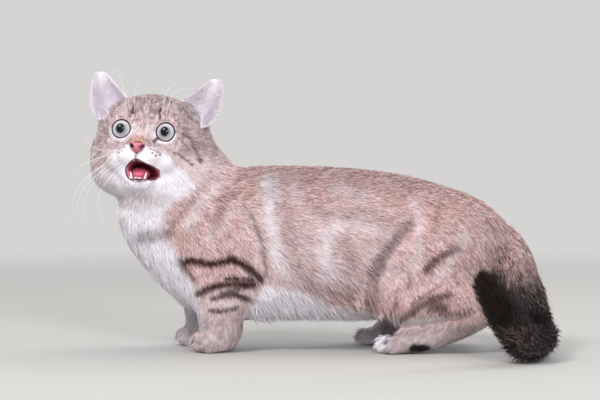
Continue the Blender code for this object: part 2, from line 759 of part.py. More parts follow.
def divide_body(body, home, cutters):
    """Torso, neck and, for each leg, its upper part and its paw or foot."""
    cut(body, slab(cutters, (0, 0, 150 - GAP / 2), (150, 150, 150), base=facing(*HEAD_PLANE)))
    cut(body, slab(cutters, (0, 0, -50), (300, 300, 50)))
    above = slab(cutters, (0, 0, 100), (150, 150, 100), base=facing(*NECK_PLANE))
    pieces = {"neck": part_off(body, "neck", home, cutters, above)}
    for name, side in SIDES.items():
        x = LEG_SHIFT[name]
        shapes = {
            "foreleg_": slab(cutters, (x - 92, side * 47, 20), (38, 34, 45), (-side * 14, 0, 0)),
            "thigh_": slab(cutters, (x + 103, side * 50, 40), (62, 30, 78), (-side * 8, 0, 0)),
        }
        lower = {
            "foreleg_": ("forepaw_", slab(cutters, (x - 92, side * 40, -28), (60, 50, 52), (0, -6, 0))),
            "thigh_": ("hind_foot_", slab(cutters, (x + 104, side * 48, -15), (80, 50, 48), (0, -11, 0))),
        }
        for part, shape in shapes.items():
            upper = part_off(body, part + name, home, cutters, shape)
            end, shape = lower[part]
            pieces |= {part + name: upper, end + name: part_off(upper, end + name, home, cutters, shape)}
    return pieces | {"torso": body}


def divide_tail(pieces, home, cutters):
    """The tail in three lengths, fitted to the rump and past the left hock."""
    tail = tail_tube(home)
    for beside in ("torso", "thigh_left", "hind_foot_left"):
        cut(tail, swollen(pieces[beside], GAP + 0.15, cutters))
    largest(tail)
    bend = part_off(tail, "tail_bend", home, cutters, slab(cutters, (180, -150, 30), (60, 90, 90)))
    tip = part_off(bend, "tail_tip", home, cutters, slab(cutters, (110, -190, 60), (60, 60, 60), (0, 0, 40)))
    return {"tail_root": tail, "tail_bend": bend, "tail_tip": tip}


def paint(obj, colour, roughness):
    material = bpy.data.materials.new(obj.name + "_surface")
    material.use_nodes = True
    shader = material.node_tree.nodes["Principled BSDF"]
    shader.inputs["Base Color"].default_value = COLOURS[colour]
    shader.inputs["Roughness"].default_value = roughness
    obj.data.materials.clear()
    obj.data.materials.append(material)


def settle(pieces):
    """Moves every piece alike, so that the middle of the whole box stands on the origin at the floor."""
    every = np.vstack([points_of(obj) for obj in pieces.values()])
    low, high = every.min(axis=0), every.max(axis=0)
    middle = np.array([(low[0] + high[0]) / 2, (low[1] + high[1]) / 2, low[2]])
    for obj in pieces.values():
        set_points(obj, points_of(obj) - middle)


def main():
    clear_scene()
    cat = collection("munchkin_cat")
    cutters = collection("cutters")
    body = body_flesh(cat)
    head = head_flesh(cat, cutters)
    pieces = divide_head(head, cat, cutters) | divide_body(body, cat, cutters)
    pieces |= divide_tail(pieces, cat, cutters)
    for name, obj in pieces.items():
        obj.name = name
        obj.data.name = name
        paint(obj, *SURFACES.get(name, ("coat", 0.9)))
    for cutter in cutters.objects:
        cutter.hide_render = True
        cutter.display_type = "WIRE"
    settle(pieces)


main()
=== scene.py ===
"""Looks of the munchkin cat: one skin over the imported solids, its short plush coat laid in tufts, the eyes
and lids, nose, mouth, ears, whiskers and claws, on a pale floor. Places are in millimetres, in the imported
model's frame or in the face's own axes, and are turned to metres where the meshes are made."""

import functools
import itertools
import math

import bmesh
import bpy
import numpy as np
from mathutils import Matrix, Vector
from mathutils.bvhtree import BVHTree


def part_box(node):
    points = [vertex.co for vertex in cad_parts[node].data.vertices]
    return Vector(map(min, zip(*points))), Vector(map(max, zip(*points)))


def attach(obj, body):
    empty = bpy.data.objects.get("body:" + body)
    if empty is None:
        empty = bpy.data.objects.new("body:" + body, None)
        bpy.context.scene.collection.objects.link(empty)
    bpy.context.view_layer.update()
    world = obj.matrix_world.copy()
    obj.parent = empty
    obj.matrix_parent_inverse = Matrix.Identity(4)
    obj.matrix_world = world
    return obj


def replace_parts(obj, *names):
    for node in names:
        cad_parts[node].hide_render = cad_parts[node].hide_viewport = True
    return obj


MM = 0.001

# How the head is held, and the eyes in it
HEAD_YAW, HEAD_PITCH, HEAD_ROLL = (math.radians(a) for a in (7.5, 8.0, 4.3))
EYEBALL = 10.0
EYE_SPREAD = 19.9
EYE_LEVEL = -1.0
EYE_DEPTH = -3.2
LID_EDGE = 8.3  # from the middle of the eye to the edge of the haired lid
LID_RIM = 0.75  # half the thickness of the bare dark rim inside it
PUPIL = (3.4, 4.2)  # half its width and half its height
IRIS_EDGE = 7.7
JAW_SWING = 0.8  # the jaw hangs to the cat's left and the nose lies to its right
NOSE_SWING = -0.8
TORSO_END = 181.2  # lengths along the body hold for a torso that ends here behind

SKIN_GRID = 1.45  # grid on which the solids of flesh are fused to one skin
SKIN_KEPT = 0.62  # share of its triangles that stay, fewest where it is flat
OVERLAP = 0.45  # each solid grows by this first, so that the partings close
COAT_DEPTH = 0.9  # share of the coat's height by which the skin lies under the solids
BARE_DEPTH = 0.3  # how far the bare skin of lids, lips and mouth lies under them
CLEFT_DEPTH = 1.6  # of the furrows between the toes, and how wide they spread
CLEFT_SPREAD = 1.6
SKIN_GAP = 0.15  # how far skin and hair stay over the floor
HAIR_GAP = 0.1
SOLE = 0.9  # below this height the paws are bare
COVER = 4.1  # how many tufts lie over each place of the coat
EAR_COVER = 4.0
EAR_FINENESS = 0.8  # the width of an ear's tufts beside those of the body
TUFT_SPREAD = 0.6  # share of its length over which a tuft covers what is under it
FRINGE_DENSITY = 0.22  # tufts to the square millimetre
EAR_FOOT_DENSITY = 1.1
SHORT_TUFT = ((0, 0.9), (0.5, 1.0), (1, 0))  # places along a tuft, and its share of the full width there
LONG_TUFT = ((0, 0.9), (0.4, 1.0), (0.75, 0.7), (1, 0))
LONG_HAIR = 11.5  # tufts from this length on are drawn as long ones
ROOT_DEPTH = 0.35  # how far a tuft starts within the skin
HAIR_SEED = 7
UV_PATCH = 0.003  # size of a tuft's patch of the map, round the place of its root
PIECE_TRIANGLES = 190000

FLESH = ["head", "lower_jaw", "neck", "torso", "tail_root", "tail_bend", "tail_tip"]
LIMBS = ("foreleg_", "forepaw_", "thigh_", "hind_foot_")
FLESH += [part + side for part in LIMBS for side in ("left", "right")]

# The lie of the coat on the body: a place (along, out from the midline, up), the way the hair runs there,
# its length, and the angle at which it stands off the skin
BODY_LIE = (
    ((-90, 20, 168), (1, 0, -0.45), 10, 17),
    ((-45, 10, 166), (1, 0, -0.05), 10, 13),
    ((0, 10, 166), (1, 0, -0.05), 10, 13),
    ((50, 10, 160), (1, 0, -0.15), 10, 13),
    ((100, 10, 150), (1, 0, -0.35), 10, 14),
    ((145, 10, 130), (0.7, 0, -0.8), 11, 15),
    ((175, 8, 100), (0.3, 0, -1), 12, 17),
    ((-125, 45, 145), (0.8, 0, -0.7), 10, 18),
    ((-150, 40, 120), (0.5, 0.1, -1), 11, 20),
    ((-168, 8, 115), (0.2, 0, -1), 13, 22),
    ((-145, 15, 75), (0.35, 0, -1), 14, 22),
    ((-115, 5, 40), (0.7, 0, -0.8), 13, 24),
    ((-60, 45, 140), (1, 0, -0.35), 10, 14),
    ((-90, 50, 110), (0.6, 0, -0.8), 9, 14),
    ((-90, 50, 80), (0.3, 0, -1), 7.5, 14),
    ((-90, 45, 50), (0.05, 0, -1), 6.5, 14),
    ((-60, 40, 45), (0.6, 0, -0.8), 9, 17),
    ((-85, 38, 22), (-0.2, 0, -1), 5, 14),
    ((-110, 38, 14), (-1, 0, -0.5), 3.6, 13),
    ((0, 60, 115), (1, 0, -0.25), 10, 13),
    ((0, 60, 75), (0.95, 0, -0.45), 11, 15),
    ((-20, 45, 44), (0.15, 0, -1), 16, 22),
    ((25, 45, 40), (0.55, 0, -1), 16, 22),
    ((0, 10, 27), (0.4, 0, -0.8), 13, 36),
    ((60, 60, 110), (1, 0, -0.35), 10, 14),
    ((55, 50, 70), (0.8, 0, -0.6), 11, 16),
    ((60, 30, 40), (0.5, 0, -1), 14, 24),
    ((100, 55, 115), (0.8, 0, -0.6), 10, 14),
    ((95, 55, 80), (0.5, 0, -0.8), 9.5, 15),
    ((85, 55, 50), (0.45, 0, -0.7), 8, 15),
    ((150, 35, 85), (0.6, 0, -0.9), 11, 16),
    ((135, 50, 50), (0.7, 0, -0.6), 9, 18),
    ((150, 48, 36), (-0.1, 0, -1), 6, 14),
    ((110, 48, 22), (-0.9, 0, -0.45), 5.5, 13),
    ((75, 48, 18), (-1, 0, -0.4), 4.2, 13),
    ((60, 48, 12), (-1, 0, -0.6), 3.4, 13),
)
# The same on the head, in the face's own axes (out from its middle, up, out of the face)
HEAD_LIE = (
    ((0, -9, 15), (0.15, 1, -0.3), 1.8, 10),
    ((0, 4, 8), (0.15, 1, -0.4), 2.6, 12),
    ((8, 18, 0), (0.12, 1, -0.5), 4.2, 14),
    ((0, 33, -20), (0.05, 0.4, -1), 6.5, 16),
    ((26, 30, -24), (0.4, 0.4, -1), 6.5, 17),
    ((20, 14, 0), (0.25, 1, -0.5), 3.0, 14),
    ((34, 12, -16), (0.7, 0.6, -0.8), 4.6, 15),
    ((42, 24, -26), (0.9, 0.6, -0.1), 6.5, 20),
    ((48, 8, -20), (0.9, 0.7, -0.2), 7.0, 20),
    ((22, -12, 2), (0.6, -0.8, -0.4), 2.6, 13),
    ((38, -2, -18), (0.9, 0, -0.8), 4.8, 14),
    ((8, -22, 20), (0.8, -0.5, -0.5), 1.9, 13),
    ((4, -27, 19), (0.5, -1, -0.2), 1.8, 13),
    ((18, -26, 8), (0.9, -0.35, -0.8), 3.4, 15),
    ((38, -18, -15), (0.8, -0.35, -0.8), 5.8, 15),
    ((42, -38, -20), (0.6, -0.75, -0.6), 8.0, 18),
    ((3, -51, 10), (0.1, -1, -0.3), 3.2, 18),
    ((20, -48, -5), (0.5, -0.8, -0.5), 5.5, 17),
    ((0, -60, -15), (0, -0.9, -0.6), 9, 20),
    ((48, 8, -48), (0.4, -0.2, -1), 6.5, 15),
    ((25, 20, -68), (0.2, -0.4, -1), 8.5, 16),
    ((0, -10, -85), (0, -0.8, -0.6), 9.5, 16),
)
BODY_OUTWARD = 0.6  # a step out from the midline counts this much where rows of BODY_LIE blend
# The middle line of the tail, from the rump to its tip
TAIL_LINE = (
    (169, -3, 93), (180, -20, 64), (184, -48, 39), (184, -84, 23), (182, -118, 20.5), (172, -140, 20.5),
    (160, -152, 32), (150.5, -156, 46), (143, -157, 58), (138.5, -157.5, 66.5), (135.5, -158, 74),
)
# The length of its hair and the angle at which it stands off, at places along it
TAIL_LENGTHS = ((20, 12), (120, 15), (225, 14), (246, 8))
TAIL_LIFTS = ((40, 18), (90, 27), (225, 29), (246, 38))

# Markings of the body, seen from the side: half width, strength, and the path (along, up)
BODY_STRIPES = (
    (3.7, 1.0, ((-120, 80), (-109, 82), (-93, 79), (-74, 83), (-62, 78), (-50, 66))),
    (1.7, 0.7, ((-118, 80), (-112, 72), (-107, 66))),
    (3.2, 1.0, ((-104, 53), (-89, 59), (-74, 62), (-56, 61))),
    (1.7, 1.0, ((-80, 66), (-68, 67), (-56, 65))),
    (1.5, 0.9, ((-84, 54), (-72.5, 57), (-60, 58.5))),
    (2.7, 1.0, ((-91, 49), (-77, 53), (-68, 51), (-58, 46))),
    (1.7, 1.0, ((-93.5, 38.5), (-82, 38), (-70, 41))),
    (2.0, 0.5, ((-58, 122), (-49, 100), (-45.5, 82), (-45, 66))),
    (5.5, 0.5, ((80, 114), (67, 98), (57, 85), (51, 72), (49, 58), (50, 36))),
    (1.6, 0.6, ((72, 106), (60, 93), (50, 82), (45, 70), (43.5, 56), (44, 38))),
    (1.4, 0.5, ((62, 86), (55, 72), (52, 56), (52, 40))),
    (3.0, 0.3, ((106, 128), (104, 116), (103, 108))),
    (3.4, 0.8, ((122, 93), (111, 88), (101, 81), (95, 74))),
    (3.6, 0.8, ((76, 31), (85, 40), (98, 47.5), (114, 52))),
    (6.4, 0.75, ((101, 45), (110, 40))),
    (1.9, 0.7, ((96, 38), (104, 42.5), (114, 44.5))),
    (1.3, 0.6, ((82, 44), (92, 52), (106, 60))),
    (2.2, 0.45, ((81, 71), (80, 59))),
    (1.7, 0.5, ((71, 48), (66, 37))),
    (1.1, 0.65, ((92, 24), (103, 31), (117, 34.5), (132, 38))),
    (1.0, 0.4, ((100, 27), (118, 32), (136, 36))),
    (3.0, 0.25, ((150, 118), (158, 100), (160, 84))),
    (4.0, 0.2, ((-20, 154), (10, 150), (60, 146), (95, 134))),
    (7.0, 0.22, ((-27, 128), (-24, 98), (-18, 72), (0, 56), (36, 57))),
    (5.5, 0.25, ((24, 98), (30, 86), (28, 72))),
    (6.0, 0.22, ((0, 124), (30, 122), (60, 118))),
    (4.5, 0.3, ((-75, 140), (-84, 125), (-90, 108))),
    (3.5, 0.3, ((-106, 140), (-112, 128), (-122, 118))),
)
BODY_PALE = (
    (7.0, 0.78, ((-44, 150), (-42, 127), (-39, 105), (-34, 85), (-30, 72))),
    (4.5, 0.35, ((-22, 150), (-20, 136))),
    (7.0, 0.7, ((16, 111), (8, 103), (5.5, 88), (8, 71))),
    (4.8, 0.5, ((16, 112), (30, 113), (45, 109), (60, 104))),
    (6.0, 0.3, ((16, 141), (28, 138), (40, 136))),
    (5.0, 0.45, ((-88, 149), (-100, 132), (-114, 113))),
    (3.6, 0.35, ((-72, 128), (-84, 112), (-96, 100))),
    (4.2, 0.4, ((84, 132), (89, 112), (87, 90), (82, 72))),
    (4.0, 0.4, ((128, 104), (116, 82), (106, 66))),
)
HEEL_PATCH = (3.6, 1.0, ((84, 6), (97, 6)))
CHEST_SPOT = (6.0, 0.45, ((-154, 103), (-142, 103), (-130, 107)))
# How far back the white of the breast reaches, at heights up the chest
BIB_EDGE = (
    (38, -100), (56, -106), (76, -119), (99, -129), (113, -134), (126, -129), (139, -116), (152, -104),
)
# How high the white of the belly reaches, at lengths along the body
BELLY_EDGE = ((-66, 66), (-50, 63), (-20, 58), (-9, 52), (17, 43), (44, 37), (62, 30))
# How far forward it reaches behind the elbow, at heights up the leg
ELBOW_EDGE = ((25, -66), (45, -60), (62, -50))

# Markings of the head, in the face's own axes (out from its middle, up)
HEAD_STRIPES = (
    (1.5, 0.85, ((13.2, 11.5), (12.6, 16), (12, 20))),
    (1.0, 0.5, ((12, 20), (10.5, 27), (10, 46))),
    (0.9, 0.55, ((3.8, 15), (3.3, 23), (3.2, 48))),
    (0.8, 0.5, ((7.4, 17), (7.0, 24), (6.6, 48))),
    (0.8, 0.4, ((0, 20), (0, 48))),
    (0.9, 0.45, ((15.5, 22), (15, 30), (14, 46))),
    (0.9, 0.35, ((20, 22), (19, 30), (18, 46))),
    (1.0, 0.35, ((25, 20), (25, 30), (24, 44))),
    (1.6, 0.65, ((33, 0), (38.5, -2.5), (42, -8.5), (46, -15), (50, -23))),
    (1.3, 0.6, ((29.5, -19), (34, -19.6), (38.5, -22.5), (44, -26.5))),
    (1.2, 0.3, ((30, -11), (35, -11.5), (39, -14.5))),
    (1.7, 0.8, ((14, -6.2), (12.9, -8.2))),
    (1.3, 0.95, ((12.9, -8.2), (11.4, -10.8))),
    (2.2, 0.3, ((47, 20), (50, 8), (52, -4))),
)
WHISKER_DOTS = ((11.5, -19), (14, -19.6), (16.5, -20.6), (13.2, -22.2), (16, -23.8), (18.8, -22.6))
# The upper edge of the white of the muzzle and cheeks
MUZZLE_EDGE = (
    (0, -17), (4, -19), (8, -14), (14, -15.5), (20, -19.5), (28, -26), (36, -32), (44, -38), (52, -47),
)
TAN_BRIDGE = (3.4, 0.9, ((0, -10.6), (4.6, -11.2)))
# Where the white hair in front of an ear begins
EAR_FRONT = ((20, 43), (26, 33), (33, 20), (43, 7), (56, 2))
PHILTRUM = ((-0.8, -22.5), (-0.5, -29.5))

# The rim of the open mouth in the face's axes: the upper lip from the cat's right, and the lower one back
UPPER_LIP = (
    (-10.4, -39.6, 10), (-9.6, -37.2, 12), (-6.6, -33.6, 15.5), (-3.2, -30.8, 18), (-0.6, -29.7, 19.3),
    (2.4, -30.8, 19), (7.3, -33, 17.5), (13.3, -35.6, 15), (18, -37.6, 11.5), (19.9, -39.2, 9.5),
)
LOWER_LIP = (
    (19.9, -39.2, 9.5), (18.6, -41.6, 9), (14, -44.6, 11), (9, -45.1, 11.5), (2, -45.3, 12),
    (-4.6, -45.1, 11.5), (-8.4, -42.8, 10.5), (-10.4, -39.6, 10),
)
LIP_RADII = (0.75, 0.3)  # of the lips' bare edge, at the cat's right and at its left
# Whiskers that the cat's right side shows, each from its root, and those over the eyes
CHEEK_WHISKERS = (
    ((-12, -24, 14), (-22, -31, 12), (-37.9, -41.7, 14), (-52.1, -60.2, 12), (-55.7, -87.3, 6)),
    ((-14, -26.5, 12), (-25.1, -35.3, 11), (-39.8, -49.4, 13), (-49.3, -67.5, 11), (-51.9, -83.7, 6)),
    ((-13, -29, 12), (-23.2, -36.9, 11), (-31.5, -45.1, 12), (-42.2, -60.4, 11), (-46.5, -88, 6)),
    ((-11, -31, 13), (-19.5, -40.1, 11), (-28.9, -54.5, 11), (-32, -67.1, 11), (-25, -87, 6)),
    ((-17, -22, 8), (-31, -26, 6), (-46.5, -33, 6), (-58, -41.7, 4)),
    ((-18, -19, 6), (-35.5, -20.8, 3), (-46.5, -16.6, 3), (-53.2, -12.4, 2)),
    ((-16, -24, 9), (-30, -33, 9), (-45, -50, 8), (-53, -70, 4)),
)
BROW_WHISKERS = (
    ((-17, 14, 3), (-20.6, 32, 3), (-26.7, 46.5, 4), (-33, 51.5, 4)),
    ((14, 15, 3), (16.5, 32, 2), (22, 41, 4), (28.5, 45, 6)),
    ((18, 16, 2), (22, 33, 0), (32, 38.5, 2), (43, 39.5, 4)),
    ((-11, 16, 4), (-11, 34, 4), (-8.4, 42.5, 4)),
)
WHISKER_RADIUS = 0.28
BROW_RADIUS = 0.2
FAR_SWEEP = 34  # how far back the whiskers of the cat's left cheek are swept
# Where the toes of the paws stand: along, out, turned out in degrees, their reach, spacing and height
FORE_TOES = (-89.7, 34, 20, 13.5, 9.4, 15)
HIND_TOES = (73.3, 47.5, 10, 12.5, 9.0, 14)
CLAW_LINE = ((5, 8.5), (7.5, 8.2), (9.6, 6.6), (10.4, 5.2))  # ahead beyond the toes' reach, and up
CLAW_RADII = (0.9, 0.8, 0.5, 0.12)
OUTER_TOES_BACK = 5.5

# The head as a rough ball, and the nose: middle and half its size, in the face's axes
HEAD_BALL = ((0, -6, -28), (62, 56, 56))
NOSE_BALL = ((NOSE_SWING, -17.6, 20), (8.4, 5.8, 9))
EAR_GRID, NOSE_GRID, TONGUE_GRID = 0.8, 0.3, 0.5  # on which their solids are rounded
EAR_DEPTH = 0.35  # how far the skin of an ear lies under its solid
LIDS_BACK = -14  # the bare lids lie in front of this depth of the face
INNER_CORNERS = {"left": (218, 3.0), "right": (318, 1.4)}  # degrees round the eye, and how far drawn out
CORNER_WIDTH = 0.24  # in radians round the eye
CORNEA_START, CORNEA_RUN = 0.68, 0.32  # shares of the eyeball's depth over which the cornea bulges
CORNEA_BULGE = 1.3
NOSTRILS_MIDDLE = (NOSE_SWING + 0.95, 0, 0)
NOSTRIL = (5.2, -17.4, 23.2)  # the cat's left one, out from between the two
NOSTRIL_SIZE = (3.5, 1.6, 4.2)
NOSTRIL_SLANT = math.radians(31)
CANINE_ROOT = (5.5, -45.4, 7.8)  # the cat's left lower canine, out from the middle of the jaw
CANINE_TIP = (7.2, -38.4, 8.8)
INCISOR_SPACING = 1.15
INCISOR_HEIGHTS = (-45.4, -44.2, -43.2)
INCISOR_DEPTH = 9.6

# Colours of the hair, each from its darkest shafts to its lightest
HAIR_TIPS = ((0.0, "#4C3436"), (0.3, "#A27D7F"), (0.55, "#E6C2C1"), (0.85, "#FFF2F0"))
HAIR_ROOT = "#D0AAAA"
TAN_HAIR = "#D0A084"
WHITE_HAIR = ("#E6DFE9", "#F8F5F9")
EAR_HAIR = ("#D6CEDD", "#F0EBF4")
STRIPE_HAIR = ("#1E0A08", "#4C2621")
BLACK_HAIR = ("#0B0505", "#2C1A17")

BACKDROP = "#F0EFEE"
BOARD = ("#B4B3B1", "#B7B6B4")

# The stage in metres: each light's place, size, power and the height at which it is aimed
LIGHTS = {
    "key": ((-1.15, -1.6, 2.0), 0.8, 42, 0.12),
    "front": ((0.4, -2.1, 1.0), 0.5, 23, 0.12),
    "top": ((0.1, 0.5, 1.9), 1.4, 7, 0.1),
    "far": ((1.4, 0.9, 0.9), 0.8, 8, 0.1),
}
HAZE = 0.76  # strength of the pale backdrop
FLOOR_HALF = 3
FLOOR_FADE = (0.55, 2.6)  # how far out the floor begins and ends to melt into the backdrop
CAMERA_PLACE = (-14.73, -1800, 159)  # in millimetres from the body's middle
CAMERA_DIP = 0.802  # degrees that it looks down
SENSOR, LENS = 36, 120


# Shaping and placing

def make_backdrop():
    world = bpy.data.worlds.new("studio")
    world.use_nodes = True
    backdrop = world.node_tree.nodes["Background"]
    backdrop.inputs["Color"].default_value = paint(BACKDROP)
    backdrop.inputs["Strength"].default_value = HAZE
    bpy.context.scene.world = world
    bpy.context.scene.view_settings.view_transform = "Standard"


def paint(code):
    """An sRGB hex colour as linear red, green, blue and alpha."""
    parts = [int(code[k : k + 2], 16) / 255 for k in (1, 3, 5)]
    return (*[c / 12.92 if c <= 0.04045 else ((c + 0.055) / 1.055) ** 2.4 for c in parts], 1.0)


def add(tree, kind, settings, inputs):
    """Adds a shader node with its settings, and sets or links its inputs, by name or by number."""
    node = tree.nodes.new("ShaderNode" + kind)
    for name, value in settings.items():
        setattr(node, name, value)
    for socket, value in inputs.items():
        if isinstance(value, bpy.types.NodeSocket):
            tree.links.new(value, node.inputs[socket])
        else:
            node.inputs[socket].default_value = value
    return node


def surface(name, roughness, **more):
    """A material with its tree and its shader, whose other values are plain sockets."""
    material = bpy.data.materials.new(name)
    material.use_nodes = True
    shader = material.node_tree.nodes["Principled BSDF"]
    shader.inputs["Roughness"].default_value = roughness
    for socket, value in more.items():
        shader.inputs[socket.replace("_", " ")].default_value = value
    return material, material.node_tree, shader


def smooth(values):
    t = np.clip(values, 0, 1)
    return t * t * (3 - 2 * t)


def rising(values, start, run):
    """From 0 at the start to 1 where the values are the run beyond it."""
    return smooth((values - start) / run)


def falling(values, start, run):
    """From 0 at the start to 1 where the values are the run below it."""
    return smooth((start - values) / run)


def most(*values):
    return functools.reduce(np.maximum, values)


def blend(one, two, share):
    return one * (1 - share) + two * share


def columns(*parts):
    """Rows made of columns, any of which may be one number for all rows."""
    return np.column_stack(np.broadcast_arrays(*parts))


def table_at(values, table):
    """What a table of pairs gives at each value, evenly between its rows."""
    return np.interp(values, [row[0] for row in table], [row[1] for row in table])


def unit(rows):
    return rows / np.maximum(np.linalg.norm(rows, axis=1, keepdims=True), 1e-9)


def drift(points, size, seed):
    """Smooth random numbers from -1 to 1 that change over the given size."""
    cell = points / size
    base = np.floor(cell).astype(np.int64)
    part = cell - base
    part = part * part * (3 - 2 * part)
    total = np.zeros(len(points))
    for corner in itertools.product((0, 1), repeat=3):
        key = (base + corner) @ np.array((73856093, 19349663, 83492791)) + seed * 1013
        key = (key ^ (key >> 13)) * 1274126177
        level = ((key ^ (key >> 16)) & 0xFFFF) / 0xFFFF
        total += level * np.prod(np.where(corner, part, 1 - part), axis=1)
    return total * 2 - 1


def through(rows, steps):
    """Rows on a smooth curve through the given rows."""
    rows = np.array(rows, float)
    rows = np.vstack([2 * rows[0] - rows[1], rows, 2 * rows[-1] - rows[-2]])
    found = []
    for before, a, b, after in zip(rows, rows[1:], rows[2:], rows[3:]):
        for t in np.linspace(0, 1, steps, endpoint=False):
            bend = 2 * before - 5 * a + 4 * b - after
            swing = -before + 3 * a - 3 * b + after
            found.append(a + 0.5 * ((b - before) * t + bend * t**2 + swing * t**3))
    return np.array([*found, rows[-2]])


def nearest_on(points, path):
    """How far each point is from the path, and the length of path up to its nearest place."""
    path = np.array(path, float)
    near = np.full(len(points), np.inf)
    place = np.zeros(len(points))
    gone = 0.0
    for a, b in zip(path, path[1:]):
        run = b - a
        t = np.clip((points - a) @ run / (run @ run), 0, 1)
        far = np.linalg.norm(points - a - t[:, None] * run, axis=1)
        closer = far < near
        near[closer] = far[closer]
        place[closer] = gone + t[closer] * np.linalg.norm(run)
        gone += np.linalg.norm(run)
    return near, place


def stations_of(path):
    """The length of a path up to each of its points."""
    return np.concatenate([[0], np.cumsum(np.linalg.norm(np.diff(path, axis=0), axis=1))])


def eye_centre(side_name):
    low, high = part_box("eye_" + side_name)
    return Vector(((low.x + high.x) / 2, high.y - EYEBALL * MM, (low.z + high.z) / 2)) / MM


def head_matrix():
    """From the face's own axes (across to the cat's left, up, out of the face) to the model's."""
    upright = Matrix(((1, 0, 0), (0, 0, -1), (0, 1, 0)))
    turn = Matrix.Rotation(-HEAD_YAW, 3, "Z") @ Matrix.Rotation(-HEAD_PITCH, 3, "X")
    turn = (turn @ Matrix.Rotation(HEAD_ROLL, 3, "Y") @ upright).to_4x4()
    between = (eye_centre("left") + eye_centre("right")) / 2
    return Matrix.Translation(between - turn.to_3x3() @ Vector((0, EYE_LEVEL, EYE_DEPTH))) @ turn


def on_head(point):
    return HEAD @ Vector(point)


def to_face(points):
    inverse = np.array(HEAD.inverted())
    return points @ inverse[:3, :3].T + inverse[:3, 3]


def from_face(rows):
    """Directions of the face's axes as directions of the model."""
    return rows @ np.array(HEAD.to_3x3()).T


def from_model(rows):
    return rows @ np.array(HEAD.to_3x3())


def mirrored(points):
    """Face places with both halves laid on the cat's left."""
    return columns(np.abs(points[:, 0]), points[:, 1], points[:, 2])


def along_skin(way, normals):
    """Directions turned until they run along the skin."""
    return unit(way - normals * np.sum(way * normals, axis=1)[:, None])


def read(rows, field, width, kind=np.float32):
    """One field of all the rows of a mesh's list, with so many numbers to a row."""
    found = np.empty(len(rows) * width, kind)
    rows.foreach_get(field, found)
    return found.reshape(-1, width)


def points_of(mesh):
    return read(mesh.vertices, "co", 3).astype(float) / MM


def normals_of(mesh):
    return read(mesh.vertices, "normal", 3).astype(float)


def set_points(mesh, points):
    mesh.vertices.foreach_set("co", (points * MM).astype(np.float32).ravel())
    mesh.update()


def new_object(name, mesh):
    obj = bpy.data.objects.new(name, mesh)
    bpy.context.scene.collection.objects.link(obj)
    return obj


def finished(name, bm, material):
    """The bmesh as a smooth piece that rides on the cat."""
    bmesh.ops.recalc_face_normals(bm, faces=bm.faces)
    mesh = bpy.data.meshes.new(name)
    bm.to_mesh(mesh)
    bm.free()
    mesh.polygons.foreach_set("use_smooth", [True] * len(mesh.polygons))
    mesh.materials.append(material)
    return dressed(new_object(name, mesh))


def dressed(obj):
    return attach(obj, "root")


def applied(obj):
    """The object with its modifiers made part of its mesh."""
    bpy.context.view_layer.update()
    old = obj.data
    graph = bpy.context.evaluated_depsgraph_get()
    obj.data = bpy.data.meshes.new_from_object(obj.evaluated_get(graph))
    obj.modifiers.clear()
    bpy.data.meshes.remove(old)
    return obj


def copy_of_nodes(names, swell):
    """The named solids as one mesh, each grown by swell."""
    bm = bmesh.new()
    for name in names:
        one = bmesh.new()
        one.from_mesh(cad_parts[name].data)
        bmesh.ops.remove_doubles(one, verts=one.verts, dist=1e-6)
        bmesh.ops.recalc_face_normals(one, faces=one.faces)
        one.normal_update()
        for vert in one.verts:
            vert.co += vert.normal * swell * MM
        loose = bpy.data.meshes.new("loose")
        one.to_mesh(loose)
        one.free()
        bm.from_mesh(loose)
        bpy.data.meshes.remove(loose)
    mesh = bpy.data.meshes.new("flesh")
    bm.to_mesh(mesh)
    bm.free()
    return new_object("flesh", mesh)


def fused(obj, grid, rounding):
    """The object on an even grid, rounded by passes of smoothing."""
    change = obj.modifiers.new("fuse", "REMESH")
    change.mode = "VOXEL"
    change.voxel_size = grid * MM
    soften(obj, rounding)
    return applied(obj)


def soften(obj, passes):
    change = obj.modifiers.new("soften", "SMOOTH")
    change.factor = 0.5
    change.iterations = passes


def outermost(obj):
    """Keeps only the largest closed surface."""
    bm = bmesh.new()
    bm.from_mesh(obj.data)
    left = set(bm.verts)
    islands = []
    while left:
        island, front = set(), [left.pop()]
        while front:
            vert = front.pop()
            island.add(vert)
            near = {e.other_vert(vert) for e in vert.link_edges} & left
            left -= near
            front.extend(near)
        islands.append(island)
    islands.sort(key=len)
    scraps = [v for island in islands[:-1] for v in island]
    bmesh.ops.delete(bm, geom=scraps, context="VERTS")
    bm.to_mesh(obj.data)
    bm.free()
    return obj


def swept(bm, path, radii, sides):
    """Extrudes a circle along the path, in millimetres."""
    path = [Vector(p) for p in path]
    ring = bmesh.ops.create_circle(bm, segments=sides, radius=1, cap_ends=True)["verts"]
    last = Matrix.Identity(4)
    up = Vector((0.13, 0.21, 0.97))
    for k, (spot, radius) in enumerate(zip(path, radii)):
        along = (path[min(k + 1, len(path) - 1)] - path[max(k - 1, 0)]).normalized()
        up = (up - along * up.dot(along)).normalized()
        turn = Matrix((along.cross(up), up, along)).transposed().to_4x4()
        wide = Matrix.Diagonal((radius, radius, radius, 1))
        place = Matrix.Scale(MM, 4) @ Matrix.Translation(spot) @ turn @ wide
        if k:
            edges = [e for e in bm.edges if e.verts[0] in set(ring) and e.verts[1] in set(ring)]
            made = bmesh.ops.extrude_edge_only(bm, edges=edges)["geom"]
            ring = [g for g in made if isinstance(g, bmesh.types.BMVert)]
        bmesh.ops.transform(bm, matrix=place @ last.inverted(), verts=ring)
        last = place


# The skin

def eye_distance(face):
    """How far each face place is from the axis of the nearer eye."""
    return np.hypot(np.abs(face[:, 0]) - EYE_SPREAD, face[:, 1] - EYE_LEVEL)


def head_share(points):
    """How much of each point belongs to the head, from 0 to 1."""
    middle, half = HEAD_BALL
    return smooth(3.4 - 2.6 * np.linalg.norm((to_face(points) - middle) / half, axis=1))


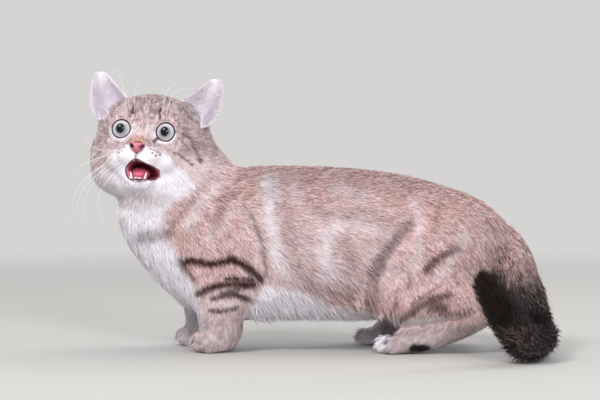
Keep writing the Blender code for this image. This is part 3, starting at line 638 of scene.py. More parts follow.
def tail_share(points):
    near, place = nearest_on(points - MIDDLE, TAIL)
    return falling(near, 27, 6) * rising(place, 22, 20)


def lie_of(points, normals):
    """The coat at each point: the way it runs, along the skin, its length and its lift in radians."""
    x, y, z = (points - MIDDLE).T
    places = columns(x, np.abs(y) * BODY_OUTWARD, z)
    way, length, lift = blended_lie(places, BODY_LIE, BODY_OUTWARD, 22)
    length = length * np.interp(z, (34, 60), (1, 0.8))
    way[:, 1] *= np.sign(y)
    share = head_share(points)
    head_way, head_length, head_lift = head_lie(points)
    way = blend(unit(way), unit(head_way), share[:, None])
    length, lift = blend(length, head_length, share), blend(lift, head_lift, share)
    share = tail_share(points)
    place = nearest_on(points - MIDDLE, TAIL)[1]
    way = blend(way, tail_direction(place), share[:, None])
    length = blend(length, table_at(place, TAIL_LENGTHS), share)
    lift = blend(lift, table_at(place, TAIL_LIFTS), share)
    return along_skin(way, normals), length, np.radians(lift)


def head_lie(points):
    """The coat of the head, which runs outward all round each eye."""
    face = to_face(points)
    side = np.sign(face[:, 0])
    way, length, lift = blended_lie(mirrored(face), HEAD_LIE, 1.0, 9)
    way[:, 0] *= side
    from_eye = unit(columns(face[:, 0] - side * EYE_SPREAD, face[:, 1] - EYE_LEVEL, -3))
    round_eye = falling(eye_distance(face), 17, 5) * (face[:, 2] > -22)
    return from_face(blend(way, 1.5 * from_eye, round_eye[:, None])), length, lift


def blended_lie(places, table, outward, reach):
    """The rows of a table of the coat's lie, blended by how near each row is to each place."""
    way = np.zeros((len(places), 3))
    total = np.zeros(len(places))
    length, lift = total.copy(), total.copy()
    for place, run, long, angle in table:
        spot = np.array(place, float) * (1, outward, 1)
        gap = np.sum((places - spot) ** 2, axis=1)
        weight = np.exp(-gap / (2 * reach**2)) + 1e-3 / (1 + (gap / 900) ** 2)
        way += weight[:, None] * unit(np.array([run], float))
        length += weight * long
        lift += weight * angle
        total += weight
    return way, length / total, lift / total


def tail_direction(place):
    stations = stations_of(TAIL)
    runs = np.gradient(TAIL, axis=0)
    return unit(np.column_stack([np.interp(place, stations, runs[:, k]) for k in range(3)]))


def stripes(places, table, ragged, blur=1.0):
    """The strength of a table of stripes at each place; ragged moves their edges and blur widens them."""
    found = np.zeros(len(places))
    for half, strength, path in table:
        near, _ = nearest_on(places, path)
        found = np.maximum(found, strength * smooth(0.5 + (1 - near / half + ragged) * 0.9 / blur))
    return found


def on_paw(toes, side, ahead, across, up):
    """A place on a paw, on the body's own places: ahead along its splay, across it and up."""
    turn = math.radians(side * toes[2])
    shift = -RIGHT_LEGS_AHEAD if side > 0 else 0
    x = toes[0] + shift - ahead * math.cos(turn) + across * math.sin(turn)
    return x, side * toes[1] + across * math.cos(turn) + ahead * math.sin(turn), up


def toe_clefts(toes, side):
    """The furrows between the toes of a paw, from the top of the foot down."""
    reach, spacing, height = toes[3:]
    falls = ((-9, height + 1), (0, height), (6, height * 0.7), (8.5, height * 0.4), (9, 1.5))
    for place in (-1, 0, 1):
        yield [on_paw(toes, side, reach + gone - 2.5 * abs(place), place * spacing, up) for gone, up in falls]


def cleft_share(cat):
    """How deep in a furrow between two toes each of the body's places lies, from 0 to 1."""
    found = np.zeros(len(cat))
    low = cat[:, 2] < 24
    for side, toes in itertools.product((-1, 1), (FORE_TOES, HIND_TOES)):
        for path in toe_clefts(toes, side):
            near, _ = nearest_on(cat[low], path)
            found[low] = np.maximum(found[low], np.exp(-((near / CLEFT_SPREAD) ** 2)))
    return found


def markings(points, normals):
    """White, dark, black and tan at each point of skin or coat, each from 0 to 1."""
    wander, fine = drift(points, 9, 3), drift(points, 2.6, 5)
    body_white, body_dark, heels = body_markings(points, normals, wander, fine)
    head_white, head_dark, tan = head_markings(points, wander, fine)
    tail, tail_dark, tail_black = tail_markings(points, wander, fine)
    share = head_share(points)
    white = blend(body_white, head_white, share) * (1 - tail)
    dark = most(blend(body_dark, head_dark, share), tail_dark)
    black = most(tail_black, heels)
    warm = 0.17 * smooth(drift(points, 20, 91) + 0.05) * (1 - tail)
    return columns(white, dark * (1 - black), black), blend(warm, tan, share)


def body_markings(points, normals, wander, fine):
    """The white and dark of the body at each point, and the black of its heels."""
    cat = points - MIDDLE
    x, y, z = cat.T
    facing_out = np.sign(y) * normals[:, 1]
    along = x + RIGHT_LEGS_AHEAD * (y > 0) * falling(z, 105, 30)
    flank = columns(along, z)
    outer = rising(facing_out, -0.55, 0.5)
    ragged = 0.3 * fine + 0.2 * wander
    white = most(stripes(flank, BODY_PALE, 2.0 * ragged, 2.0) * outer, breast_and_belly(cat, normals, wander))
    foot = most(falling(z, 34, 14) * 0.3 + falling(z, 19, 6) * 0.15, 0.35 * falling(z, 64, 12) * (x < -50))
    inner = falling(facing_out, -0.2, 0.5) * (z < 60)
    white = most(white, inner * 0.7, foot * ((along < -66) | (along > 30)))
    ridge = 0.3 * rising(z, 118, 40) * rising(x, -70, 30)
    # Painted shade: the coat darkens towards the rump, where the light falls off.
    rump_shade = 0.12 * rising(x, 90, 40) * (z > 40)
    ticked = smooth(0.1 + 1.8 * drift(points / (2.4, 1, 1), 1.1, 14)) * rising(z, 40, 30)
    ticked = (0.16 + 0.2 * rising(z, 110, 40)) * ticked
    dark = most(stripes(flank, BODY_STRIPES, ragged, 1.3) * outer, ridge, rump_shade, ticked)
    dark = dark * (1 - 0.85 * white**2 * (z < 130))
    # Painted shade: the lower legs and paws darken towards the floor, away from the light above.
    feet_shade = 0.46 * falling(z, 46, 20) * (0.65 + 0.35 * fine) * ((x < -66) | (x > 60))
    # Painted shade also lies in the furrows between the toes; the chest spot is the coat's own.
    dark = most(dark, stripes(flank, [CHEST_SPOT], ragged, 1.5), feet_shade, 0.85 * cleft_share(cat))
    return white, dark, stripes(flank, [HEEL_PATCH], ragged) * outer


def breast_and_belly(cat, normals, wander):
    """How white the breast and the belly are, and how much painted light pales the middle of the flank."""
    x, y, z = cat.T
    bib = smooth((table_at(z, BIB_EDGE) - x) / 10 + 0.5 + 0.35 * wander) * (z > 20)
    brim = table_at(x, BELLY_EDGE)
    belly = smooth((brim - z) / 12 + 0.5 + 0.4 * wander) * rising(x, table_at(z, ELBOW_EDGE), 7)
    belly = belly * falling(x, 72, 14) * (np.abs(y) < 66)
    underneath = falling(normals[:, 2], -0.25, 0.4) * (z > 18)
    underneath = underneath * np.where((x > -60) & (x < 66), falling(z, brim + 3, 8), 1)
    # Painted light: the middle of the flank is paled where the light falls most on it.
    flank_painted_light = rising(z, 45, 20) * falling(z, 138, 20) * rising(x, -75, 20) * falling(x, 90, 30)
    return most(bib, (0.2 + 0.1 * wander) * flank_painted_light, belly, underneath * 0.9)


def tail_markings(points, wander, fine):
    """How much each point belongs to the tail, and its dark and black there."""
    near, place = nearest_on(points - MIDDLE, TAIL)
    height = points[:, 2] - MIDDLE[2]
    tail = falling(near, 31, 6)
    mottled = 0.95 * smooth(drift(points, 1.7, 71) * 2.2) * rising(place, -10, 30)
    black = tail * most(smooth((place - 24) / 44 + 0.35 * fine + 0.1 * wander), mottled)
    bend = (place > 90) & (place < 200)
    frosted = 0.62 * falling(height, 38, 18) * smooth(0.2 + 1.8 * drift(points, 2.0, 74)) * bend
    pepper = 0.6 * smooth(drift(points, 1.5, 73) * 2.4 - 0.7) * falling(place, 165, 70)
    return tail, tail * 0.5 * rising(place, 8, 40), black * (1 - most(frosted, pepper))


def head_markings(points, wander, fine):
    """The white, dark and tan of the head at each point."""
    face = to_face(points)
    u, v, w = face.T
    half = mirrored(face)[:, :2]
    out = half[:, 0]
    front = rising(w, -62, 14)
    lids = pale_lids(face)
    shifted = columns(np.abs(u - NOSE_SWING + 1.4), v)
    tan = stripes(shifted, [TAN_BRIDGE], 0.2 * fine, 1.5) * (w > 2)
    dark = stripes(half, HEAD_STRIPES, 0.7 * drift(points, 1.8, 6) + 0.3 * drift(points, 4, 8), 1.3) * front
    dark = dark * np.where((u < 0) & (out > 27), 0.5, 1)
    dark = dark * np.where((u < 0) & (np.abs(v + 9) < 4), 0.3, 1)
    flecks = smooth(0.5 + 1.3 * drift(face / (1, 2.2, 2.2), 1.2, 12))
    dark = np.minimum(1, 1.25 * dark) * (0.75 + 0.25 * flecks)
    crown = rising(v, 17, 12) * falling(out, 30, 14)
    crown = 0.85 * crown * smooth(drift(points * (1.6, 1, 0.7), 2.2, 9) * 2.6)
    dots = stripes(half, [(0.6, 0.9, (dot, np.array(dot) + (0.5, -0.1))) for dot in WHISKER_DOTS], 0)
    # Painted shade: the throat darkens under the chin.
    throat_shade = 0.27 * falling(v, -52, 8) * rising(w, -45, 20) * rising(v, -82, 12)
    # Painted shade: the lower cheek on the cat's right, turned down and away from the light, is darkened.
    cheek_shade = 0.2 * falling(u, -18, 12) * falling(v, -22, 10) * front
    ticked = 0.24 + 0.32 * smooth(0.3 + 1.8 * drift(face / (1, 2.4, 2.4), 1.1, 13))
    ticked = ticked * front * rising(v, -26, 14) * (1 - 0.85 * lids)
    dark = most(dark, crown, dots * (w > 0), throat_shade, cheek_shade, ticked)
    edge = table_at(out, MUZZLE_EDGE) - 3 * falling(u, -20, 14)
    muzzle = smooth((edge - v) / 10 + 0.5 + 0.4 * wander + 0.25 * fine)
    by_ear = smooth((v - table_at(out, EAR_FRONT)) / 13 + 0.7 + 0.3 * fine) * rising(out, 25, 8)
    white = most(muzzle, 0.42 * front, 0.9 * by_ear * rising(w, -48, 6))
    return most(white * (1 - 0.9 * dark), lids) * (1 - 0.8 * tan), dark, tan


def pale_lids(face):
    """How pale the hair is round each eye, most under it and at its inner corner."""
    _, v, w = face.T
    beneath = np.where(v < -1, 0.9, 0.35) * (w > -12)
    inner_corner = 0.7 * falling(np.hypot(np.abs(face[:, 0]) - 9, v + 1), 9, 5)
    return most(falling(eye_distance(face), 13.0, 3.2) * beneath, inner_corner * (w > -4))


def lip_distance(face):
    """How far each face place is from the edge of the lips."""
    return nearest_on(face, LIPS)[0]


def mouth_share(face, normals):
    """Where the skin is the wet lining of the mouth, within the rim of the lips."""
    u, v, w = face.T
    rim = LIPS[:, :2]
    inside = np.zeros(len(face), bool)
    for (u0, v0), (u1, v1) in zip(rim, np.roll(rim, -1, axis=0)):
        crosses = (v0 > v) != (v1 > v)
        inside ^= crosses & (u < u0 + (v - v0) * (u1 - u0) / (v1 - v0 + 1e-9))
    near, place = nearest_on(face[:, :2], rim)
    brink = np.interp(place, stations_of(rim), LIPS[:, 2])
    turned = from_model(normals)
    edge = (near < 3.4) & (turned[:, 2] < 0.3) & (w < brink - 0.3)
    between = (u > rim[:, 0].min() + 0.5) & (u < rim[:, 0].max() - 0.5)
    palate = (near < 10) & (turned[:, 1] < -0.1) & (v > -41) & (w < brink - 3) & between
    return ((inside & (w < brink + 2)) | edge | palate) & (w > -45)


def philtrum_share(face):
    return falling(nearest_on(face[:, :2], PHILTRUM)[0], 1.15, 0.5) * (face[:, 2] > 12)


def bare_share(points, normals):
    """How much each point is free of hair: lids, nose, lips, the mouth and the soles."""
    face = to_face(points)
    lids = falling(eye_distance(face), LID_EDGE + 0.9, 0.6) * (face[:, 2] > LIDS_BACK)
    middle, half = NOSE_BALL
    nose = falling(np.linalg.norm((face - middle) / half, axis=1), 1.06, 0.08)
    lips = falling(lip_distance(face), 1.5, 0.6)
    soles = points[:, 2] < SOLE
    return most(lids, nose, lips, philtrum_share(face), mouth_share(face, normals), soles)


def make_skin():
    """One closed skin in place of the solids of flesh, lower than them by the depth of the coat."""
    obj = outermost(fused(copy_of_nodes(FLESH, OVERLAP), SKIN_GRID, 5))
    points, normals = points_of(obj.data), normals_of(obj.data)
    _, length, lift = lie_of(points, normals)
    face = to_face(points)
    by_eyes = falling(eye_distance(face), 15, 6) * (face[:, 2] > -20)
    shallow = most(by_eyes, falling(lip_distance(face), 6, 4), mouth_share(face, normals))
    depth = blend(OVERLAP + length * np.sin(lift) * COAT_DEPTH, OVERLAP + BARE_DEPTH, shallow)
    points = points - normals * (depth + CLEFT_DEPTH * cleft_share(points - MIDDLE))[:, None]
    points[:, 2] = np.maximum(points[:, 2], SKIN_GAP)
    set_points(obj.data, points)
    soften(obj, 2)
    thin = obj.modifiers.new("thin", "DECIMATE")
    thin.ratio = SKIN_KEPT
    mesh = applied(obj).data
    set_points(mesh, opened_lids(points_of(mesh)))
    return obj


def opened_lids(points):
    """Draws the skin back to the edge of each lid, so that the eye shows in full."""
    face = to_face(points)
    side = np.where(face[:, 0] > 0, 1, -1)
    u, v = face[:, 0] - side * EYE_SPREAD, face[:, 1] - EYE_LEVEL
    ring = np.maximum(np.hypot(u, v), 1e-6)
    close = (ring < LID_EDGE) & (face[:, 2] > -4) & (face[:, 2] < 12)
    grow = np.where(close, LID_EDGE / ring, 1)
    moved = np.column_stack([side * EYE_SPREAD + u * grow, EYE_LEVEL + v * grow, face[:, 2]])
    matrix = np.array(HEAD)
    return np.where(close[:, None], moved @ matrix[:3, :3].T + matrix[:3, 3], points)


def unwrapped(obj):
    """Unwraps the skin by its own shape."""
    bpy.ops.object.select_all(action="DESELECT")
    obj.select_set(True)
    bpy.context.view_layer.objects.active = obj
    bpy.ops.object.mode_set(mode="EDIT")
    bpy.ops.mesh.select_all(action="SELECT")
    bpy.ops.uv.smart_project(angle_limit=math.radians(66), island_margin=0.001)
    bpy.ops.object.mode_set(mode="OBJECT")
    return obj


def store(mesh, name, rows):
    """Keeps three numbers at each point of the mesh for the material."""
    layer = mesh.attributes.new(name, "FLOAT_VECTOR", "POINT")
    layer.data.foreach_set("vector", rows.astype(np.float32).ravel())


# The coat

class Ground:
    """The triangles of a skin on which tufts are set."""

    def __init__(self, mesh):
        mesh.calc_loop_triangles()
        self.verts = read(mesh.loop_triangles, "vertices", 3, np.int32)
        self.points, self.normals = points_of(mesh), normals_of(mesh)
        uv = read(mesh.uv_layers.active.uv, "vector", 2)
        self.uv = uv[read(mesh.loop_triangles, "loops", 3, np.int32)]
        self.bend = self.bends(read(mesh.edges, "vertices", 2, np.int32).T)
        a, b, c = (self.points[self.verts[:, k]] for k in range(3))
        self.area = np.linalg.norm(np.cross(b - a, c - a), axis=1) / 2
        self.middle = (a + b + c) / 3

    def bends(self, ends):
        """How sharply the skin rounds outward at each point, for each millimetre, and evened."""
        a, b = ends
        size = len(self.points)
        run = self.points[b] - self.points[a]
        far = np.sum(run * run, axis=1)
        from_a = -2 * np.sum(run * self.normals[a], axis=1) / far
        from_b = 2 * np.sum(run * self.normals[b], axis=1) / far
        number = np.maximum(np.bincount(a, minlength=size) + np.bincount(b, minlength=size), 1)
        found = (np.bincount(a, from_a, size) + np.bincount(b, from_b, size)) / number
        for _ in range(5):
            found = (np.bincount(a, found[b], size) + np.bincount(b, found[a], size)) / number
        return np.clip(found, 0, 0.09)

    def scatter(self, density, random):
        """Root points, normals, bends and map places, set evenly by tufts to the square millimetre."""
        share = np.cumsum(self.area * density)
        count = int(share[-1])
        picks = np.searchsorted(share, (np.arange(count) + random.random(count)) / count * share[-1])
        picks = np.minimum(picks, len(share) - 1)
        one, two = random.random(count), random.random(count)
        fold = one + two > 1
        one[fold], two[fold] = 1 - one[fold], 1 - two[fold]
        weights = np.column_stack([1 - one - two, one, two])[:, :, None]
        chosen = self.verts[picks]
        spots = np.sum(self.points[chosen] * weights, axis=1)
        facing = unit(np.sum(self.normals[chosen] * weights, axis=1))
        bend = np.sum(self.bend[chosen] * weights[:, :, 0], axis=1)
        return spots, facing, bend, np.sum(self.uv[picks] * weights, axis=1)


def tuft_width(length):
    return 0.26 + 0.02 * length


def density_for(cover, length, widen=1.0):
    """Tufts of a length to the square millimetre that lie so many deep."""
    return cover / (TUFT_SPREAD * length * tuft_width(length) * widen)


def blades(spots, facing, bend, way, length, lift, width, random, stations):
    """Flat tapering tufts that rise from the skin and bend along its curve: (tuft, corner, xyz)."""
    count = len(spots)
    roll = random.normal(0, 0.35, count)[:, None]
    side = np.cross(way, facing)
    across = side * np.cos(roll) + facing * np.sin(roll)
    swerve = random.normal(0, 0.08, count)[:, None] * side
    rows = []
    for t, share in stations:
        rise = np.sin(lift) * t * (1.25 - 0.25 * t) - bend * length * t * t / 2
        reach = way * (np.cos(lift) * t)[:, None] + facing * rise[:, None] + swerve * t * t
        centre = spots - facing * ROOT_DEPTH + reach * length[:, None]
        half = across * (width * share / 2)[:, None]
        rows += [centre - half, centre + half] if share else [centre]
    return np.stack(rows, axis=1)


def coat_mesh(name, corners, stations, uv, marks, hair):
    """One mesh of many tufts, each a strip of quads that ends in a triangle."""
    count, per, _ = corners.shape
    mesh = bpy.data.meshes.new(name)
    mesh.vertices.add(count * per)
    mesh.vertices.foreach_set("co", (corners * MM).astype(np.float32).ravel())
    pattern, starts, totals = [], [], []
    for k in range(0, per - 3, 2):
        starts.append(len(pattern))
        totals.append(4)
        pattern += [k, k + 1, k + 3, k + 2]
    starts.append(len(pattern))
    totals.append(3)
    pattern += [per - 3, per - 2, per - 1]
    pattern, base = np.array(pattern), np.arange(count)[:, None]
    mesh.loops.add(count * len(pattern))
    mesh.loops.foreach_set("vertex_index", (base * per + pattern).astype(np.int32).ravel())
    mesh.polygons.add(count * len(starts))
    mesh.polygons.foreach_set("loop_start", (base * len(pattern) + starts).astype(np.int32).ravel())
    mesh.polygons.foreach_set("loop_total", np.tile(totals, count).astype(np.int32))
    mesh.polygons.foreach_set("use_smooth", np.ones(count * len(starts), bool))
    mesh.update(calc_edges=True)
    levels = np.repeat([t for t, _ in stations], 2)[:per]
    sides = np.array([0, 1] * (per // 2) + [0.5])
    patch = np.column_stack([sides - 0.5, levels - 0.5])[None] * UV_PATCH
    layer = mesh.uv_layers.new(name="OFBake")
    layer.uv.foreach_set("vector", (uv[:, None] + patch)[:, pattern].astype(np.float32).ravel())
    store(mesh, "marks", np.repeat(marks, per, axis=0))
    spread = np.repeat(hair[:, None], per, axis=1)
    spread[:, :, 0] = levels
    store(mesh, "hair", spread.reshape(-1, 3))
    return mesh


def lay_coat(name, ground, density, lie, marks_of, material, random, widen=1.0, hug=1.0):
    """Sets tufts over the ground and makes them into pieces of a bounded size. They follow the skin's curve
    by the share hug."""
    spots, facing, bend, uv = ground.scatter(density, random)
    bend = bend * hug * (1 - 0.8 * tail_share(spots))
    way, length, lift = lie(spots, facing)
    count = len(spots)
    broad = np.column_stack([drift(spots, 16, 20 + k) for k in range(3)])
    narrow = np.column_stack([drift(spots, 3.0, 30 + k) for k in range(3)])
    way = unit(way + 0.1 * broad + 0.12 * narrow + random.normal(0, 0.13, (count, 3)))
    way = along_skin(way, facing)
    lift = lift * np.clip(random.normal(1, 0.22, count) + 0.15 * drift(spots, 3.5, 40), 0.4, 1.9)
    length = length * np.clip(random.normal(1, 0.14, count), 0.6, 1.4)
    middle = spots + way * length[:, None] * 0.5 + random.normal(0, 0.07, (count, 3)) * length[:, None]
    marks, warm = marks_of(middle, facing)
    tint = np.clip(0.5 + 0.28 * random.normal(0, 1, count) + 0.14 * drift(spots, 5, 50), 0, 1)
    hair = columns(0, tint, warm)
    width = tuft_width(length) * widen
    for kind, stations, chosen in (
        ("short", SHORT_TUFT, length < LONG_HAIR),
        ("long", LONG_TUFT, length >= LONG_HAIR),
    ):
        index = np.nonzero(chosen)[0]
        index = index[np.argsort(spots[index, 0])]
        triangles = 2 * len(stations) - 3
        pieces = math.ceil(len(index) * triangles / PIECE_TRIANGLES)
        for number, part in enumerate(np.array_split(index, pieces) if pieces else ()):
            rows = (each[part] for each in (spots, facing, bend, way, length, lift, width))
            corners = blades(*rows, random, stations)
            corners[:, :, 2] = np.maximum(corners[:, :, 2], HAIR_GAP)
            title = f"{name}_{kind}_{number + 1}"
            mesh = coat_mesh(title, corners, stations, uv[part], marks[part], hair[part])
            mesh.materials.append(material)
            dressed(new_object(title, mesh))


def fringe_share(points, normals):
    """How much each point belongs to the lower edges of the belly."""
    x, y, z = (points - MIDDLE).T
    low = falling(z, 48, 8) * rising(z, 26, 4)
    return low * (np.abs(x - 4) < 64) * (np.abs(y) < 64) * falling(normals[:, 2], 0.1, 0.3)


def fringe_lie(points, normals):
    """The long hair of the belly's lower edges hangs down in ragged locks."""
    side = np.sign(points[:, 1] - MIDDLE[1])
    way = columns(0.25 + 0.3 * drift(points, 14, 80), 0.3 * side, -1)
    length = 13.5 + 4.5 * drift(points, 10, 81)
    return along_skin(way, normals), length, np.full(len(points), np.radians(24))


def ear_foot_share(points, normals):
    """How much each point of the head lies at the foot of an ear, where long hair grows up over its edge."""
    out, v, w = mirrored(to_face(points)).T
    near = np.exp(-(((v - table_at(out, EAR_FRONT) + 3) / 5) ** 2))
    return near * (out > 24) * (w > -46) * rising(from_model(normals)[:, 2], -0.3, 0.4)


def ear_foot_lie(points, normals):
    side = np.sign(to_face(points)[:, 0])
    way = from_face(columns(side * (0.55 + 0.3 * drift(points, 8, 83)), 1, 0.1))
    length = 7.5 + 1.5 * drift(points, 5, 82)
    return along_skin(way, normals), length, np.full(len(points), np.radians(15))


# Materials

def mix(tree, share, one, two, **settings):
    """Two colours, each a hex code or an output, mixed by the share of the second."""
    one, two = (paint(colour) if isinstance(colour, str) else colour for colour in (one, two))
    return add(tree, "Mix", {"data_type": "RGBA", **settings}, {0: share, 6: one, 7: two}).outputs[2]


def numbers_at(tree, name):
    """The three numbers that the mesh keeps at each point under a name."""
    kept = add(tree, "Attribute", {"attribute_name": name}, {}).outputs["Vector"]
    return add(tree, "SeparateXYZ", {}, {0: kept}).outputs


def own_place(tree):
    return add(tree, "TexCoord", {}, {}).outputs["Object"]


def noise(tree, place, scale, detail=3.0):
    return add(tree, "TexNoise", {}, {"Vector": place, "Scale": scale, "Detail": detail}).outputs[0]


def vector_node(tree, operation, *values):
    return add(tree, "VectorMath", {"operation": operation}, dict(enumerate(values))).outputs


def math_node(tree, operation, one, two):
    return add(tree, "Math", {"operation": operation}, {0: one, 1: two}).outputs[0]


def finish_of(tree, shader, colour, height, strength, depth):
    """Gives a shader its colour and its fine relief."""
    tree.links.new(colour, shader.inputs["Base Color"])
    bump = add(tree, "Bump", {}, {"Strength": strength, "Distance": depth * MM, "Height": height})
    tree.links.new(bump.outputs[0], shader.inputs["Normal"])


def plush_fur(name, low, high):
    """Cat hair, each shaft banded grey at its root and cream or brown at its tip: matt and soft, with a
    faint bright edge where light grazes it. Its white hair runs between the two tones."""
    soft = {"Sheen_Weight": 0.12, "Sheen_Roughness": 0.5, "Specular_IOR_Level": 0.15}
    material, tree, shader = surface(name, 0.8, **soft)
    tree.links.new(hair_colour(tree, low, high), shader.inputs["Base Color"])
    return material


def hair_colour(tree, low, high):
    """Mixes the coat's colours by the markings and the shafts' own tints."""
    white, dark, black = numbers_at(tree, "marks")
    along, tint, warm = numbers_at(tree, "hair")
    tips = add(tree, "ValToRGB", {}, {0: tint})
    ramp(tips, HAIR_TIPS)
    near_tip = add(tree, "MapRange", {}, {"Value": along, "From Min": 0.4, "From Max": 0.8}).outputs[0]
    ground = mix(tree, near_tip, HAIR_ROOT, tips.outputs[0])
    pale = mix(tree, white, mix(tree, warm, ground, TAN_HAIR), mix(tree, tint, low, high))
    striped = mix(tree, dark, pale, mix(tree, tint, *STRIPE_HAIR))
    return mix(tree, black, striped, mix(tree, tint, *BLACK_HAIR))


def ramp(node, stops):
    """Sets the colours of a colour ramp."""
    elements = node.color_ramp.elements
    while len(elements) < len(stops):
        elements.new(0.5)
    for element, (place, code) in zip(elements, stops):
        element.position = place
        element.color = paint(code)


def living_skin():
    """Skin under the hair, seen only in the partings of the coat and, bare and wet, in the mouth and nose."""
    material, tree, shader = surface("skin_under_hair", 0.6, Specular_IOR_Level=0.3)
    wet, rosy, lids = numbers_at(tree, "bare")
    grain = noise(tree, own_place(tree), 1 / (1.6 * MM), 2.0)
    # The darker lining tone is painted shade, up by the palate and deep in the mouth.
    lining = mix(tree, rosy, "#7A2236", "#C8627C")
    mouth = mix(tree, wet, hair_colour(tree, *WHITE_HAIR), lining)
    finish_of(tree, shader, mix(tree, lids, mouth, "#3A2523"), grain, 0.25, 0.4)
    return material


def wet_leather(name, low, high, size, roughness, depth):
    """Moist bare skin, pebbled by its pores: a soft broken gloss over two tones, painted shade in the
    nostrils.
    """
    moist = {"Specular_IOR_Level": 0.3, "Coat_Weight": 0.2, "Coat_Roughness": 0.2}
    material, tree, shader = surface(name, roughness, **moist)
    place = own_place(tree)
    pores = add(tree, "TexVoronoi", {}, {"Vector": place, "Scale": 1 / (size * MM)}).outputs["Distance"]
    tone = noise(tree, place, 1 / (4 * size * MM))
    # The near-black tone is painted shade, laid in the nostrils' pits.
    nostril_shade = add(tree, "Attribute", {"attribute_name": "nostril_shade"}, {}).outputs["Fac"]
    finish_of(tree, shader, mix(tree, nostril_shade, mix(tree, tone, low, high), "#1E070E"), pores, 0.5, depth)
    return material


def iris_material(name, centre, turn):
    """A cat's eye: pale fibred iris round a dark pupil a little taller than wide, under the clear wet
    cornea's sharp gloss."""
    cornea = {"Specular_IOR_Level": 0.05, "Coat_Weight": 0.8, "Coat_Roughness": 0.02, "Coat_IOR": 1.376}
    material, tree, shader = surface(name, 0.3, **cornea)
    moved = {0: own_place(tree), 1: centre, 2: turn, 3: (MM, MM, MM)}
    local = add(tree, "Mapping", {"vector_type": "TEXTURE"}, moved).outputs[0]
    across, up, _ = add(tree, "SeparateXYZ", {}, {0: local}).outputs
    flat = add(tree, "CombineXYZ", {}, {0: across, 1: up}).outputs[0]
    radius = vector_node(tree, "LENGTH", flat)["Value"]
    ring = add(tree, "CombineXYZ", {}, {2: radius}).outputs[0]
    spoke = vector_node(tree, "NORMALIZE", flat)[0]
    fibre = noise(tree, vector_node(tree, "MULTIPLY_ADD", spoke, (9, 9, 9), ring)[0], 1.4)
    bands = add(tree, "ValToRGB", {}, {0: math_node(tree, "DIVIDE", radius, EYEBALL)})
    outer = IRIS_EDGE / EYEBALL
    inner_bands = ((0.34, "#565E6C"), (0.5, "#9EA0A8"), (outer * 0.8, "#BDB9BF"))
    outer_bands = ((outer * 0.94, "#CCC6CA"), (outer, "#62585C"), (outer * 1.03, "#231B1C"))
    ramp(bands, inner_bands + outer_bands)
    veined = mix(tree, 0.25, bands.outputs[0], fibre, blend_type="OVERLAY")
    wide, tall = PUPIL
    shrunk = math_node(tree, "MULTIPLY", up, wide / tall)
    narrow = add(tree, "CombineXYZ", {}, {0: across, 1: shrunk}).outputs[0]
    opening = vector_node(tree, "LENGTH", narrow)["Value"]
    edge = {"Value": opening, "From Min": wide * 0.9, "From Max": wide * 1.12}
    beyond = add(tree, "MapRange", {"interpolation_type": "SMOOTHSTEP"}, edge).outputs[0]
    tree.links.new(mix(tree, beyond, "#04050B", veined), shader.inputs["Base Color"])
    return material


def plain_finish(name, low, high, size, roughness, **more):
    """Two close tones that drift over the piece, with a fine unevenness."""
    material, tree, shader = surface(name, roughness, **more)
    tone = noise(tree, own_place(tree), 1 / (size * MM))
    finish_of(tree, shader, mix(tree, tone, low, high), tone, 0.2, 0.2)
    return material


# Pieces of the face

def make_eye(name, side):
    """An eyeball with its bulging cornea, looking out along the face."""
    bm = bmesh.new()
    bmesh.ops.create_uvsphere(bm, u_segments=48, v_segments=32, radius=EYEBALL)
    for vert in bm.verts:
        bulge = float(rising(vert.co.z / EYEBALL, CORNEA_START, CORNEA_RUN))
        vert.co.z += CORNEA_BULGE * bulge
    centre = Vector((side * EYE_SPREAD, EYE_LEVEL, EYE_DEPTH))
    place = Matrix.Scale(MM, 4) @ HEAD @ Matrix.Translation(centre)
    bmesh.ops.transform(bm, matrix=place, verts=bm.verts)
    middle = (HEAD @ centre) * MM
    obj = finished("eyeball_" + name, bm, iris_material("iris_" + name, middle, HEAD.to_euler()))
    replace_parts(obj, "eye_" + name)


def make_lids(name, side, material):
    """The dark wet rim of the lids, drawn down to a point at the inner corner."""
    corner, drawn = INNER_CORNERS[name]
    inner = math.radians(corner)
    path, thick = [], []
    for turn in np.linspace(0, 2 * math.pi, 64, endpoint=False):
        off = math.atan2(math.sin(turn - inner), math.cos(turn - inner))
        point = math.exp(-((off / CORNER_WIDTH) ** 2))
        ring = LID_EDGE + drawn * point
        over = math.sqrt(EYEBALL**2 - LID_EDGE**2) + 0.25 - 0.5 * point
        across, above = ring * math.cos(turn), ring * math.sin(turn)
        path.append(on_head((side * EYE_SPREAD + across, EYE_LEVEL + above, EYE_DEPTH + over)))
        thick.append(LID_RIM * (0.78 + 0.42 * math.sin(turn) + 0.4 * point))
    bm = bmesh.new()
    swept(bm, [*path, path[0]], [*thick, thick[0]], 10)
    bmesh.ops.remove_doubles(bm, verts=bm.verts, dist=0.02 * MM)
    finished("lid_rim_" + name, bm, material)


def make_nose(material):
    """The nose pad with its nostrils, rounded from the solid's own shape."""
    obj = fused(copy_of_nodes(["nose"], 0.1), NOSE_GRID, 2)
    # Painted shade: an oval round each nostril's pit is kept, where the leather is darkened.
    face = mirrored(to_face(points_of(obj.data)) - NOSTRILS_MIDDLE) - NOSTRIL
    slant = Matrix.Rotation(-NOSTRIL_SLANT, 3, "Z")
    off = np.linalg.norm(face @ np.array(slant).T / NOSTRIL_SIZE, axis=1)
    layer = obj.data.attributes.new("nostril_shade", "FLOAT", "POINT")
    layer.data.foreach_set("value", falling(off, 1.2, 0.35).astype(np.float32))
    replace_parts(renewed(obj, "nose_pad", material), "nose")


def make_tongue(material):
    obj = fused(copy_of_nodes(["tongue"], 0.1), TONGUE_GRID, 4)
    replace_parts(renewed(obj, "tongue_flesh", material), "tongue")


def renewed(obj, name, material):
    """A copy of solids, rounded, as a piece of the looks with its own material."""
    obj.name = obj.data.name = name
    obj.data.materials.clear()
    obj.data.materials.append(material)
    obj.data.polygons.foreach_set("use_smooth", [True] * len(obj.data.polygons))
    return dressed(obj)


